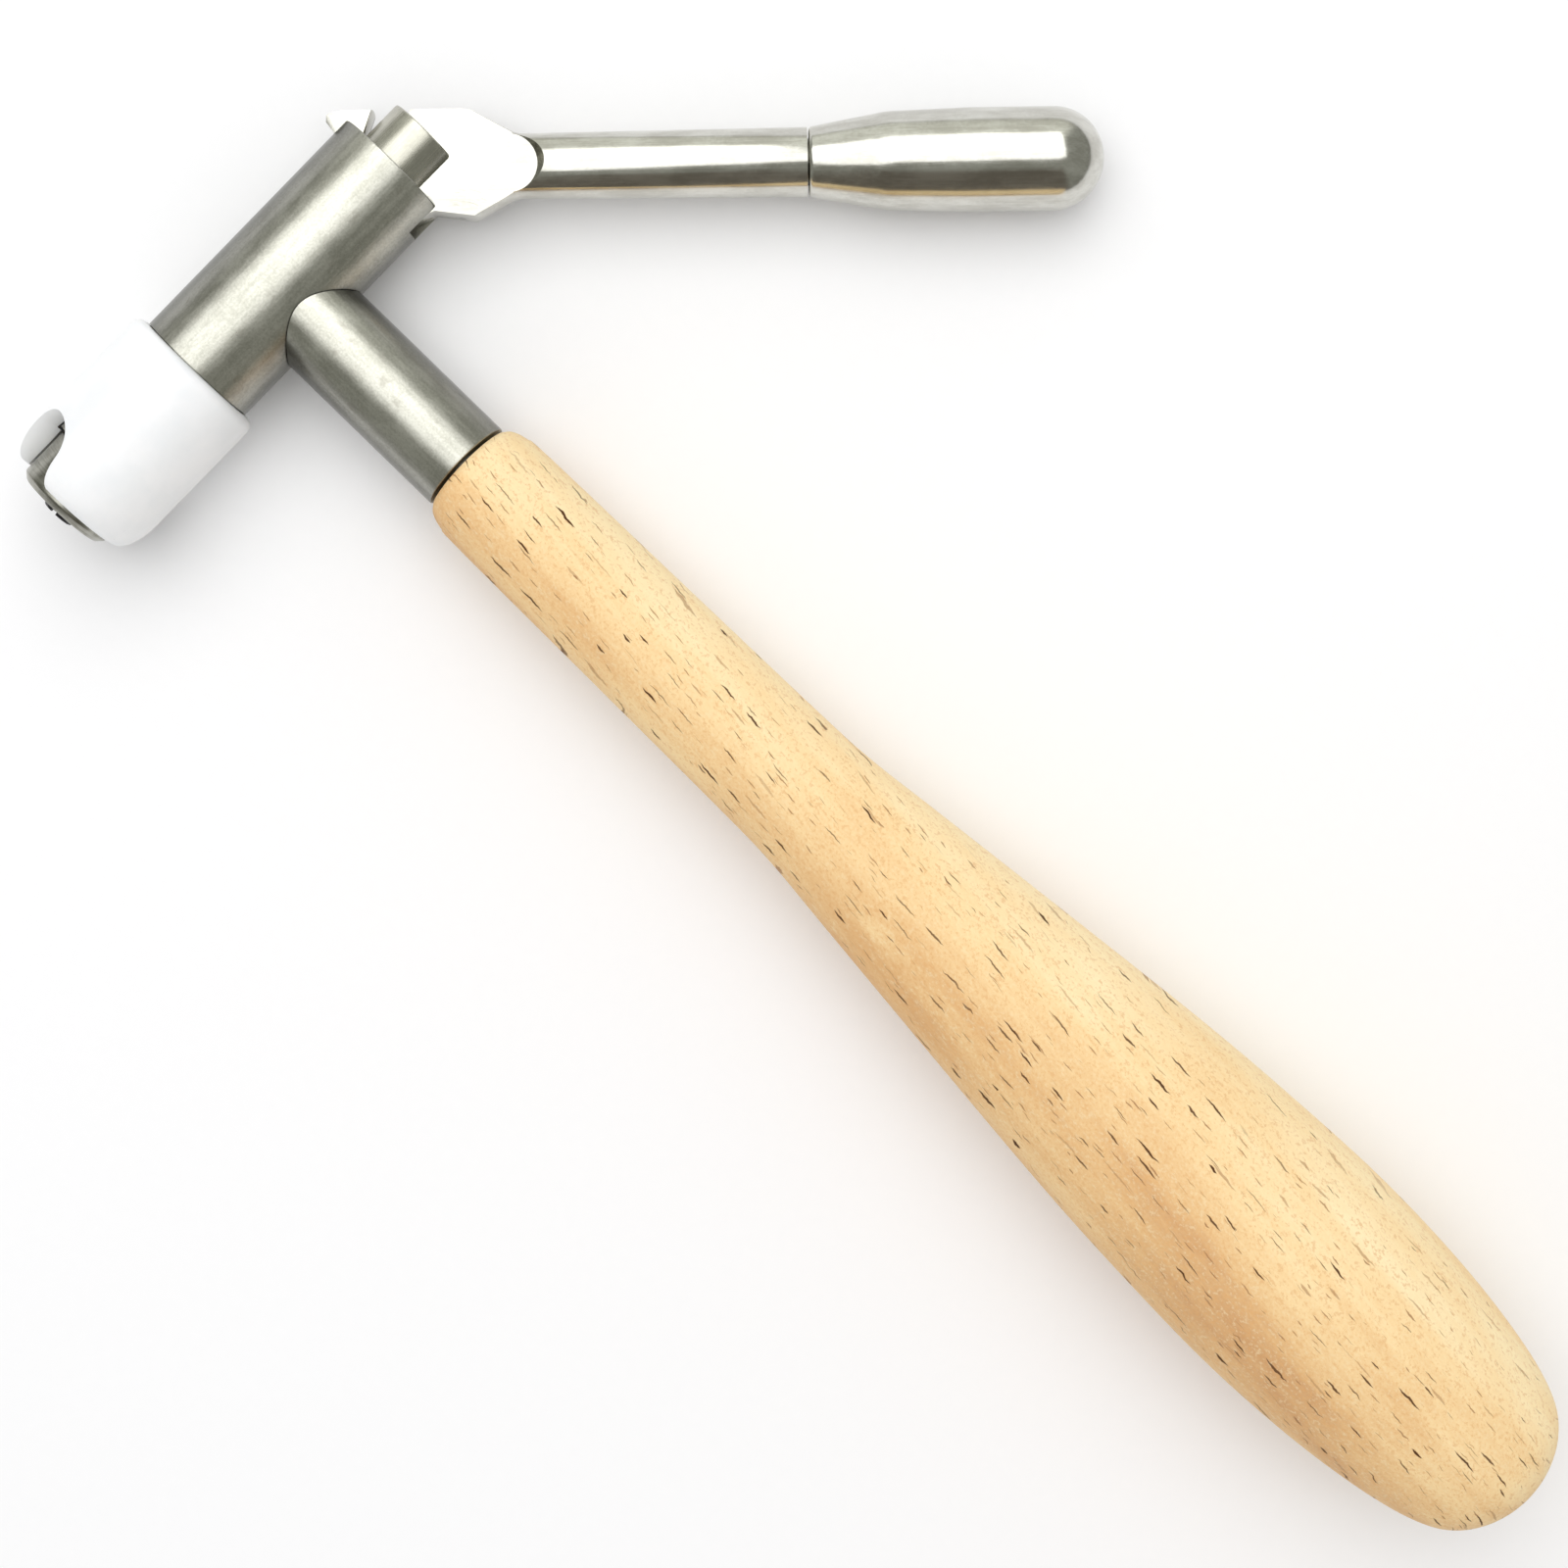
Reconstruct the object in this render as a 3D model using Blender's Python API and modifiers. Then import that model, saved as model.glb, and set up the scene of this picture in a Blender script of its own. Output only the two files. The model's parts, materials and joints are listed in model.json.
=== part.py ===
"""Hand-held lever puller for watch work.

A short steel crosspiece (the head tube) stands across the end of a turned wooden handle. Squeezing the
lever lifts a draw rod inside the head tube, and with it a split collet that grips the work, while a white
nose cap and a spring-loaded pressure sleeve hold the work down.

The tool's own frame has its origin where the handle's axis meets the head tube's axis: +X runs along the
handle to its butt, +Y up the head tube to the lever, +Z out of the plane of both. The whole tool then
leans to lie on a bench, touching it with the handle, the nose cap and the lever's grip.
"""

import math

import bmesh
import bpy
import numpy as np
from mathutils import Matrix, Vector

MM = 0.001

# ---- fits -------------------------------------------------------------------------------------------
FACE_GAP = 0.3 * MM          # between faces that rest on each other
RUNNING_GAP = 0.1 * MM       # radial, between a round piece and its hole
SLIDE_GAP = 0.2 * MM         # each side of the lever's flat tongue, and round the draw rod
CUT_OVER = 1.0 * MM          # how far a cutter runs past the wall it cuts

# ---- head tube --------------------------------------------------------------------------------------
HEAD_RADIUS = 5.0 * MM
HEAD_TOP = 12.85 * MM        # rim above the handle's axis
HEAD_SHOULDER = -9.15 * MM   # where the nose cap meets the tube
HEAD_CHAMFER = 0.15 * MM
SPIGOT_RADIUS = 4.45 * MM    # turned down end under the nose cap
SPIGOT_LENGTH = 5.15 * MM

# ---- draw rod ---------------------------------------------------------------------------------------
ROD_RADIUS = 3.2 * MM
ROD_STAND_OUT = 3.6 * MM     # above the rim, at rest
ROD_CHAMFER = 0.2 * MM
ROD_STOP_STEP = 0.6 * MM     # radial, down to the stop that rests on the bush
ROD_NECK_STEP = 1.6 * MM     # radial, down to the neck
ROD_STOP_HEIGHT = 1.0 * MM
ROD_THREAD_LENGTH = 3.4 * MM # in the collet holder
PIN_RADIUS = 1.05 * MM
PIN_DEPTH = 3.35 * MM        # pin's centre below the rim
FORK_CLEARANCE = 0.6 * MM    # between the lever's boss and the fork's floor

# ---- lever ------------------------------------------------------------------------------------------
# Distances along the lever start where its axis crosses the head tube's.
LEVER_ANGLE = math.radians(45)
LEVER_CROSSING = 0.1 * MM    # the crossing's depth below the rim
LEVER_STOCK_START = -9.375 * MM
LEVER_BAR_RADIUS = 4.45 * MM
LEVER_BAR_END = 6.2 * MM
LEVER_BAR_EDGE = 0.45 * MM   # rounding where the bar turns into its cone
LEVER_ROD_START = 9.75 * MM
LEVER_ROD_RADIUS = 2.5 * MM
LEVER_ROD_END_RADIUS = 2.68 * MM
LEVER_ROD_FILLET = 0.3 * MM
TONGUE_THICKNESS = 2.5 * MM
FLAT_CORNER = 7.5 * MM       # where the milled flats start to round in
FLAT_END_RADIUS = 2.3 * MM   # cutter that mills the tongue's flats
FLAT_END_CENTRE = 9.1 * MM
FLAT_RUN_OUT = 0.5           # slope of the milled shoulder
PIN_PLAY = 0.4 * MM          # radial, in the notch: the pin slides there as the lever rocks
NOTCH_LEAN = math.radians(25.4)
NOSE_OVERHANG = 1.25 * MM    # lever's nose beyond the head tube's side
NOSE_STEP = 0.65 * MM        # how far the nose draws in above the rim
NOSE_TOP = 1.5 * MM          # above the rim
NOSE_BEVEL = 0.35 * MM
NOSE_CLEARANCE = 0.5 * MM    # least height over the nose slot's floor
BOSS_RADIUS = 2.3 * MM       # lever's boss round the pin
FULCRUM_INSET = 0.3 * MM     # outwards of the bore: the lever's heel rocks there on the slot's floor
HEEL_INNER = 0.8 * MM        # heel's flat, inwards and outwards of the fulcrum
HEEL_OUTER = 0.25 * MM
# The tongue's outer edge: (distance out from the head tube's wall, height above its rim), in millimetres.
OUTER_EDGE_MM = ((-0.05, -0.3), (0.6, 0.2), (3.5, 2.4), (4.5, 2.65))
NOSE_SLOT_DEPTH = 2.1 * MM
HEEL_SLOT_DEPTH = 2.9 * MM
GRIP_START = 32.4 * MM
GRIP_CONE_END = 38.3 * MM
GRIP_CONE_RADIUS = 3.75 * MM
GRIP_CONE_BLEND = 0.8 * MM   # length of the rounding each side of the cone's end
GRIP_RADIUS = 4.0 * MM
GRIP_FULL = 45.0 * MM
GRIP_END = 55.6 * MM
TENON_RADIUS = 1.8 * MM
TENON_LENGTH = 13.0 * MM

# ---- inside the head tube ---------------------------------------------------------------------------
BUSH_TOP = 4.0 * MM
BUSH_LENGTH = 2.4 * MM
CLIP_THICKNESS = 0.4 * MM
CLIP_WIDTH = 0.75 * MM       # radial
CLIP_GROOVE = 0.4 * MM       # depth in the tube's wall
CLIP_OPENING = 2.4 * MM
LOCK_NUT_TOP = -3.0 * MM
LOCK_NUT_HEIGHT = 1.2 * MM
HOLDER_WALL = 0.5 * MM
HOLDER_HEAD_HEIGHT = 1.2 * MM
HOLDER_BOTTOM = -12.1 * MM
SPRING_WIRE = 0.25 * MM      # radius
SPRING_STEPS = 12            # points in a turn
RETURN_SPRING_TURNS = 5
SLEEVE_SPRING_TURNS = 3

# ---- collet -----------------------------------------------------------------------------------------
COLLET_WALL = 0.65 * MM
COLLET_JAW_WALL = 1.25 * MM
COLLET_TIP_STEP = 0.75 * MM  # radial, along the taper
COLLET_LENGTH = 16.1 * MM
COLLET_CHAMFER = 0.2 * MM
COLLET_TAPER = 1.5 * MM
COLLET_JAW_LENGTH = 2.2 * MM
COLLET_JAW_STEP = 0.5 * MM   # length of the cone from jaw bore to bore
COLLET_SLIT = 0.5 * MM
COLLET_SLIT_LENGTH = 12.3 * MM
COLLET_STAND_OUT = 0.5 * MM  # beyond the pressure sleeve

# ---- nose -------------------------------------------------------------------------------------------
CAP_WALL = 1.5 * MM
CAP_LEDGE_WIDTH = 0.35 * MM
CAP_LENGTH = 14.5 * MM
CAP_TOP_ROUND = 0.9 * MM
CAP_MOUTH_ROUND = 3.4 * MM   # length of the rounding at the mouth
CAP_RIM_STEP = 1.4 * MM      # radial, along that rounding
CAP_LEDGE_HEIGHT = 3.7 * MM  # inner ledge above the rim
WINDOW_WIDTH = 5.4 * MM
WINDOW_HEIGHT = 5.0 * MM
WINDOW_ANGLE = math.radians(42)
SLEEVE_WALL = 0.4 * MM       # at its neck
SLEEVE_STAND_OUT = 0.85 * MM
SLEEVE_HEAD = 4.6 * MM
SLEEVE_BEVEL = 0.5 * MM
SLEEVE_CHAMFER = 0.1 * MM
SLEEVE_NECK_TOP = -12.0 * MM
SLEEVE_RING_THICKNESS = 0.35 * MM

# ---- stem and handle --------------------------------------------------------------------------------
STEM_RADIUS = 4.0 * MM
STEM_END = 20.4 * MM
STEM_SPIGOT_STEP = 0.8 * MM  # radial, less than the bore it opens into
STEM_BORE_START = 8.0 * MM
TANG_RADIUS = 2.5 * MM
TANG_IN_WOOD = 45.0 * MM
# Distance from the handle's front and radius there, in millimetres. A smooth curve runs through them.
HANDLE_STATIONS_MM = (
    (0.0, 4.0), (0.5, 4.5), (1.7, 4.87), (4.0, 5.05), (20.0, 5.25), (33.0, 5.42), (38.3, 5.62), (45.0, 6.33),
    (57.0, 7.6), (71.0, 9.0), (80.0, 9.62), (89.5, 9.95), (98.0, 9.6), (105.0, 8.72), (109.9, 7.5),
    (112.6, 5.9), (114.3, 3.2), (114.8, 0.0),
)

ROUND_STEPS = 40
FINE_STEPS = 56

# ---- sizes that follow from those -------------------------------------------------------------------
BORE_RADIUS = ROD_RADIUS + SLIDE_GAP
ROD_NECK_RADIUS = ROD_RADIUS - ROD_NECK_STEP
ROD_STOP_RADIUS = ROD_RADIUS - ROD_STOP_STEP
SLEEVE_NECK_RADIUS = BORE_RADIUS - SLIDE_GAP
HOLDER_RADIUS = SLEEVE_NECK_RADIUS - SLEEVE_WALL - SLIDE_GAP
COLLET_RADIUS = HOLDER_RADIUS - HOLDER_WALL - RUNNING_GAP
COLLET_BORE = COLLET_RADIUS - COLLET_WALL
COLLET_JAW_BORE = COLLET_RADIUS - COLLET_JAW_WALL
COLLET_TIP_RADIUS = COLLET_RADIUS - COLLET_TIP_STEP
CAP_BORE = SPIGOT_RADIUS + RUNNING_GAP
CAP_RADIUS = CAP_BORE + CAP_WALL
CAP_RIM_RADIUS = CAP_RADIUS - CAP_RIM_STEP
SLEEVE_RADIUS = CAP_BORE - CAP_LEDGE_WIDTH - SLIDE_GAP
STEM_SPIGOT_RADIUS = BORE_RADIUS - STEM_SPIGOT_STEP
PIN_HEIGHT = HEAD_TOP - PIN_DEPTH
NOSE_REACH = HEAD_RADIUS + NOSE_OVERHANG
FULCRUM_X = BORE_RADIUS + FULCRUM_INSET
SLOT_HALF = TONGUE_THICKNESS / 2 + SLIDE_GAP
NOTCH_RADIUS = PIN_RADIUS + PIN_PLAY
LEVER_CENTRE = Vector((0, HEAD_TOP - LEVER_CROSSING, 0))
FULCRUM = Vector((FULCRUM_X, HEAD_TOP - HEEL_SLOT_DEPTH, 0))
HEEL_HEIGHT = FULCRUM.y + FACE_GAP
CAP_MOUTH = HEAD_SHOULDER - CAP_LENGTH
SLEEVE_MOUTH = CAP_MOUTH - SLEEVE_STAND_OUT
SLEEVE_SHOULDER = SLEEVE_MOUTH + SLEEVE_HEAD
SLEEVE_RING_LOW = SLEEVE_SHOULDER + FACE_GAP
SPIGOT_END = HEAD_SHOULDER - SPIGOT_LENGTH
HOLDER_TOP = LOCK_NUT_TOP - LOCK_NUT_HEIGHT - FACE_GAP
COLLET_BOTTOM = SLEEVE_MOUTH - COLLET_STAND_OUT
COLLET_TOP = COLLET_BOTTOM + COLLET_LENGTH
HANDLE_FRONT = STEM_END + FACE_GAP
HANDLE_STATIONS = [(at * MM, radius * MM) for at, radius in HANDLE_STATIONS_MM]

MATERIALS = {
    # name: (colour, roughness, metallic)
    "satin_steel": ((0.42, 0.41, 0.38), 0.42, 1.0),
    "polished_steel": ((0.62, 0.61, 0.58), 0.16, 1.0),
    "turned_steel": ((0.50, 0.49, 0.47), 0.32, 1.0),
    "spring_steel": ((0.55, 0.55, 0.56), 0.25, 1.0),
    "black_oxide": ((0.03, 0.03, 0.035), 0.40, 0.8),
    "brass": ((0.62, 0.46, 0.20), 0.30, 1.0),
    "white_plastic": ((0.86, 0.88, 0.89), 0.38, 0.0),
    "beech": ((0.76, 0.56, 0.34), 0.50, 0.0),
}


# ---- scene ------------------------------------------------------------------------------------------
def clear_scene():
    for obj in list(bpy.data.objects):
        bpy.data.objects.remove(obj, do_unlink=True)


def new_collection(name, hidden=False):
    collection = bpy.data.collections.new(name)
    bpy.context.scene.collection.children.link(collection)
    collection.hide_render = hidden
    return collection


def make_materials():
    for name, (colour, roughness, metallic) in MATERIALS.items():
        material = bpy.data.materials.new(name)
        material.use_nodes = True
        shader = material.node_tree.nodes["Principled BSDF"]
        shader.inputs["Base Color"].default_value = (*colour, 1.0)
        shader.inputs["Roughness"].default_value = roughness
        shader.inputs["Metallic"].default_value = metallic


def empty(name, parent, location=(0, 0, 0), turn=0.0):
    """A joint's or frame's empty, turned about Z."""
    obj = bpy.data.objects.new(name, None)
    obj.empty_display_size = 5 * MM
    PARTS.objects.link(obj)
    obj.parent = parent
    obj.location = location
    obj.rotation_euler.z = turn
    return obj


def place(obj, collection, parent, along=None, location=(0, 0, 0)):
    """Links an object under its parent. 'along' is the parent's axis that a turned shape's Z follows."""
    collection.objects.link(obj)
    obj.parent = parent
    obj.location = location
    if along == "X":
        obj.rotation_euler.y = math.radians(90)
    elif along == "Y":
        obj.rotation_euler.x = math.radians(-90)
    return obj


def finish(obj, material):
    """Gives a part its material and smooth shading."""
    obj.data.materials.append(bpy.data.materials[material])
    if obj.type == "MESH":
        obj.data.shade_smooth()
    return obj


def as_cutter(obj):
    obj.hide_render = True
    obj.display_type = "WIRE"
    return obj


# ---- shapes -----------------------------------------------------------------------------------------
def turned(name, profile, parent, along, steps=ROUND_STEPS, closed=False, collection=None):
    """A turned shape from (radius, height) points that run down its outer side, top to bottom."""
    count = len(profile)
    edges = [(i, i + 1) for i in range(count - 1)]
    if closed:
        edges.append((count - 1, 0))
    mesh = bpy.data.meshes.new(name)
    mesh.from_pydata([(radius, 0, height) for radius, height in profile], edges, [])
    obj = place(bpy.data.objects.new(name, mesh), collection or PARTS, parent, along)
    screw = obj.modifiers.new("turn", "SCREW")
    screw.steps = steps
    screw.render_steps = steps
    screw.use_merge_vertices = True
    screw.merge_threshold = 0.001 * MM
    return obj


def ring(name, inner, outer, low, high, parent, along, steps=ROUND_STEPS, collection=None):
    profile = [(inner, high), (outer, high), (outer, low), (inner, low)]
    return turned(name, profile, parent, along, steps, closed=True, collection=collection)


def cylinder_cutter(name, radius, low, high, parent, along, location=(0, 0, 0)):
    profile = [(0, high), (radius, high), (radius, low), (0, low)]
    cutter = turned(name, profile, parent, along, collection=CUTTERS)
    cutter.location = location
    return as_cutter(cutter)


def box_cutter(name, low, high, parent):
    mesh = bpy.data.meshes.new(name)
    builder = bmesh.new()
    bmesh.ops.create_cube(builder, size=1)
    size = Vector(high) - Vector(low)
    bmesh.ops.scale(builder, vec=size, verts=builder.verts)
    bmesh.ops.translate(builder, vec=(Vector(high) + Vector(low)) / 2, verts=builder.verts)
    builder.to_mesh(mesh)
    builder.free()
    return as_cutter(place(bpy.data.objects.new(name, mesh), CUTTERS, parent))


def outline_cutter(name, outline, half, parent, location=(0, 0, 0)):
    """A flat outline in the parent's XY plane, made solid half its thickness to each side."""
    curve = bpy.data.curves.new(name, "CURVE")
    curve.dimensions = "2D"
    curve.fill_mode = "BOTH"
    curve.extrude = half
    spline = curve.splines.new("POLY")
    spline.points.add(len(outline) - 1)
    for point, (x, y) in zip(spline.points, outline):
        point.co = (x, y, 0, 1)
    spline.use_cyclic_u = True
    drawn = bpy.data.objects.new(name + "_outline", curve)
    CUTTERS.objects.link(drawn)
    solid = bpy.data.objects.new(name, welded_mesh(drawn))
    return as_cutter(place(solid, CUTTERS, parent, location=location))


def welded_mesh(drawn):
    """The mesh of a curve object, with its caps joined to its sides; the curve is removed."""
    bpy.context.view_layer.update()
    evaluated = drawn.evaluated_get(bpy.context.evaluated_depsgraph_get())
    mesh = bpy.data.meshes.new_from_object(evaluated)
    builder = bmesh.new()
    builder.from_mesh(mesh)
    bmesh.ops.remove_doubles(builder, verts=builder.verts, dist=0.001 * MM)
    bmesh.ops.recalc_face_normals(builder, faces=builder.faces)
    builder.to_mesh(mesh)
    builder.free()
    bpy.data.objects.remove(drawn, do_unlink=True)
    return mesh


def boolean(obj, other, operation="DIFFERENCE"):
    modifier = obj.modifiers.new(other.name, "BOOLEAN")
    modifier.operation = operation
    modifier.solver = "EXACT"
    modifier.object = other


def arc(centre, radius, start, end, count):
    """Points on an arc, angles in degrees."""
    angles = np.radians(np.linspace(start, end, count))
    return [(centre[0] + radius * math.cos(a), centre[1] + radius * math.sin(a)) for a in angles]


def smooth_through(stations, per_span):
    """A Catmull-Rom curve through the given points."""
    points = [np.array(station, float) for station in stations]
    points = [2 * points[0] - points[1]] + points + [2 * points[-1] - points[-2]]
    curve = []
    for before, start, end, after in zip(points, points[1:], points[2:], points[3:]):
        for t in np.linspace(0, 1, per_span, endpoint=False):
            curve.append(
                0.5
                * (
                    2 * start
                    + (end - before) * t
                    + (2 * before - 5 * start + 4 * end - after) * t**2
                    + (3 * start - before - 3 * end + after) * t**3
                )
            )
    curve.append(points[-2])
    return curve


def coil(name, mean_radius, low, high, turns, parent):
    """A compression spring along the parent's Y axis, with a closed turn at each end."""
    count = (turns + 2) * SPRING_STEPS + 1
    wire_low = low + SPRING_WIRE
    wire_high = high - SPRING_WIRE
    closed_pitch = 2 * SPRING_WIRE + FACE_GAP / 2
    open_length = wire_high - wire_low - 2 * closed_pitch
    curve = bpy.data.curves.new(name, "CURVE")
    curve.dimensions = "3D"
    curve.bevel_depth = SPRING_WIRE
    curve.bevel_resolution = 2
    curve.use_fill_caps = True
    spline = curve.splines.new("POLY")
    spline.points.add(count - 1)
    for index, point in enumerate(spline.points):
        turn = index / SPRING_STEPS
        height = wire_low + closed_pitch * min(turn, 1)
        height += open_length * min(max(turn - 1, 0), turns) / turns
        height += closed_pitch * max(turn - 1 - turns, 0)
        angle = 2 * math.pi * turn
        point.co = (mean_radius * math.cos(angle), height, mean_radius * math.sin(angle), 1)
    return place(bpy.data.objects.new(name, curve), PARTS, parent)


# ---- head tube --------------------------------------------------------------------------------------
def head_tube(frame):
    """The crosspiece, slotted across its rim for the lever and drilled for the stem's spigot."""
    clip_low = BUSH_TOP + RUNNING_GAP / 2
    clip_high = clip_low + CLIP_THICKNESS + RUNNING_GAP
    groove = BORE_RADIUS + CLIP_GROOVE
    profile = [
        (BORE_RADIUS, HEAD_TOP),
        (HEAD_RADIUS - HEAD_CHAMFER, HEAD_TOP),
        (HEAD_RADIUS, HEAD_TOP - HEAD_CHAMFER),
        (HEAD_RADIUS, HEAD_SHOULDER),
        (SPIGOT_RADIUS, HEAD_SHOULDER),
        (SPIGOT_RADIUS, SPIGOT_END + HEAD_CHAMFER),
        (SPIGOT_RADIUS - HEAD_CHAMFER, SPIGOT_END),
        (BORE_RADIUS, SPIGOT_END),
        (BORE_RADIUS, clip_low),
        (groove, clip_low),
        (groove, clip_high),
        (BORE_RADIUS, clip_high),
    ]
    tube = turned("head_tube", profile, frame, "Y", FINE_STEPS, closed=True)
    outside = HEAD_RADIUS + CUT_OVER
    inside = BORE_RADIUS - CUT_OVER
    rim = HEAD_TOP + CUT_OVER
    nose_floor = HEAD_TOP - NOSE_SLOT_DEPTH
    low_corner = (-outside, nose_floor, -SLOT_HALF)
    boolean(tube, box_cutter("nose_slot", low_corner, (-inside, rim, SLOT_HALF), frame))
    boolean(tube, box_cutter("heel_slot", (inside, FULCRUM.y, -SLOT_HALF), (outside, rim, SLOT_HALF), frame))
    hole = STEM_SPIGOT_RADIUS + RUNNING_GAP
    boolean(tube, cylinder_cutter("spigot_hole", hole, inside, outside, frame, "X"))
    return finish(tube, "satin_steel")


def stem_tube(frame):
    """The stem, coped to the head tube, with a spigot into its wall and a bore for the tang."""
    profile = [(0, STEM_END), (STEM_RADIUS, STEM_END), (STEM_RADIUS, BORE_RADIUS / 2), (0, BORE_RADIUS / 2)]
    stem = turned("stem_tube", profile, frame, "X", FINE_STEPS)
    reach = STEM_RADIUS + CUT_OVER
    cope = cylinder_cutter("cope", HEAD_RADIUS + RUNNING_GAP, -reach, reach, frame, "Y")
    boolean(cope, cylinder_cutter("spigot_keep", STEM_SPIGOT_RADIUS, 0, 2 * HEAD_RADIUS, frame, "X"))
    boolean(stem, cope)
    boolean(stem, cylinder_cutter("spigot_trim", BORE_RADIUS + RUNNING_GAP, -reach, reach, frame, "Y"))
    bore = TANG_RADIUS + RUNNING_GAP
    boolean(stem, cylinder_cutter("stem_bore", bore, STEM_BORE_START, STEM_END + CUT_OVER, frame, "X"))
    return finish(stem, "satin_steel")


# ---- handle -----------------------------------------------------------------------------------------
def handle_tang(frame):
    low = STEM_BORE_START + FACE_GAP
    high = HANDLE_FRONT + TANG_IN_WOOD
    chamfer = TANG_RADIUS / 4
    profile = [
        (0, high),
        (TANG_RADIUS - chamfer, high),
        (TANG_RADIUS, high - chamfer),
        (TANG_RADIUS, low + chamfer),
        (TANG_RADIUS - chamfer, low),
        (0, low),
    ]
    return finish(turned("handle_tang", profile, frame, "X"), "turned_steel")


def handle_grip(frame):
    """The turned wooden handle, bored from its front for the tang."""
    outside = [(radius, HANDLE_FRONT + at) for at, radius in smooth_through(HANDLE_STATIONS, 2)]
    bore = TANG_RADIUS + RUNNING_GAP
    bore_end = HANDLE_FRONT + TANG_IN_WOOD + FACE_GAP
    profile = list(reversed(outside)) + [(bore, HANDLE_FRONT), (bore, bore_end), (0, bore_end)]
    return finish(turned("handle_grip", profile, frame, "X"), "beech")


# ---- lever ------------------------------------------------------------------------------------------
def lever_outline():
    """The tongue's edge in the tool's XY plane, from its nose, round the pin's boss, to its outer corner."""
    rim = HEAD_TOP
    floor = rim - NOSE_SLOT_DEPTH
    tip = -NOSE_REACH
    nose = [
        (tip + NOSE_STEP, rim + NOSE_TOP),
        (tip + NOSE_STEP, rim + NOSE_BEVEL),
        (tip, rim - NOSE_STEP),
        (tip, floor + NOSE_CLEARANCE + 2 * NOSE_BEVEL),
        (tip + NOSE_BEVEL, floor + NOSE_CLEARANCE + NOSE_BEVEL),
        (-BORE_RADIUS + SLIDE_GAP, floor + NOSE_CLEARANCE),
    ]
    boss = arc((0, PIN_HEIGHT), BOSS_RADIUS, 165, 345, 15)
    heel = [(FULCRUM.x - HEEL_INNER, HEEL_HEIGHT), (FULCRUM.x + HEEL_OUTER, HEEL_HEIGHT)]
    outer = [(HEAD_RADIUS + out * MM, rim + up * MM) for out, up in OUTER_EDGE_MM]
    return nose + boss + heel + outer


def lever_arm(pivot, lever_origin):
    """The lever, milled from round bar: a flat tongue with nose, heel, notch and boss, then a round rod."""
    bar = [
        (0, GRIP_START + TENON_LENGTH),
        (TENON_RADIUS, GRIP_START + TENON_LENGTH),
        (TENON_RADIUS, GRIP_START),
        (LEVER_ROD_END_RADIUS, GRIP_START),
        (LEVER_ROD_RADIUS, LEVER_ROD_START + LEVER_ROD_FILLET),
        (LEVER_ROD_RADIUS + LEVER_ROD_FILLET / 2, LEVER_ROD_START - LEVER_ROD_FILLET),
        (LEVER_BAR_RADIUS - LEVER_BAR_EDGE, LEVER_BAR_END + 1.5 * LEVER_BAR_EDGE),
        (LEVER_BAR_RADIUS - LEVER_BAR_EDGE / 4, LEVER_BAR_END + LEVER_BAR_EDGE / 4),
        (LEVER_BAR_RADIUS, LEVER_BAR_END - LEVER_BAR_EDGE),
        (LEVER_BAR_RADIUS, LEVER_STOCK_START),
        (0, LEVER_STOCK_START),
    ]
    arm = turned("lever_arm", bar, pivot, "X")
    arm.location = lever_origin
    beyond = LEVER_BAR_RADIUS + CUT_OVER
    behind = LEVER_STOCK_START - CUT_OVER
    flat = [(behind, -beyond), (FLAT_CORNER, -beyond)]
    flat += arc((FLAT_END_CENTRE, 0), FLAT_END_RADIUS, -80, 80, 13)
    flat += [(FLAT_CORNER, beyond), (behind, beyond)]
    half = beyond / 2
    for name, side in (("upper_flat", 1), ("lower_flat", -1)):
        height = side * (TONGUE_THICKNESS / 2 + half)
        cutter = outline_cutter(name, flat, half, pivot, lever_origin + Vector((0, 0, height)))
        for vertex in cutter.data.vertices:
            vertex.co.x += FLAT_RUN_OUT * (half + side * vertex.co.z)
        boolean(arm, cutter)
    return finish(arm, "polished_steel")


def cut_lever_tongue(arm, frame):
    """Cuts the tongue's lower edge and the pin's notch, both laid out in the tool's own frame."""
    far = 2 * HEAD_TOP
    outside = 2 * HEAD_RADIUS + 2 * CUT_OVER
    waste = lever_outline() + [(outside, HEAD_TOP), (outside, -far / 2)]
    waste += [(-far, -far / 2), (-far, HEAD_TOP + NOSE_TOP)]
    half = LEVER_BAR_RADIUS + CUT_OVER
    boolean(arm, outline_cutter("tongue_edge", waste, half, frame))
    lean = math.degrees(NOTCH_LEAN)
    pin = Vector((0, PIN_HEIGHT))
    up = Vector((-math.sin(NOTCH_LEAN), math.cos(NOTCH_LEAN))) * far
    across = Vector((math.cos(NOTCH_LEAN), math.sin(NOTCH_LEAN))) * NOTCH_RADIUS
    notch = arc(pin, NOTCH_RADIUS, 180 + lean, 360 + lean, 13)
    notch += [tuple(pin + across + up), tuple(pin - across + up)]
    boolean(arm, outline_cutter("notch", notch, half, frame))


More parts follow.
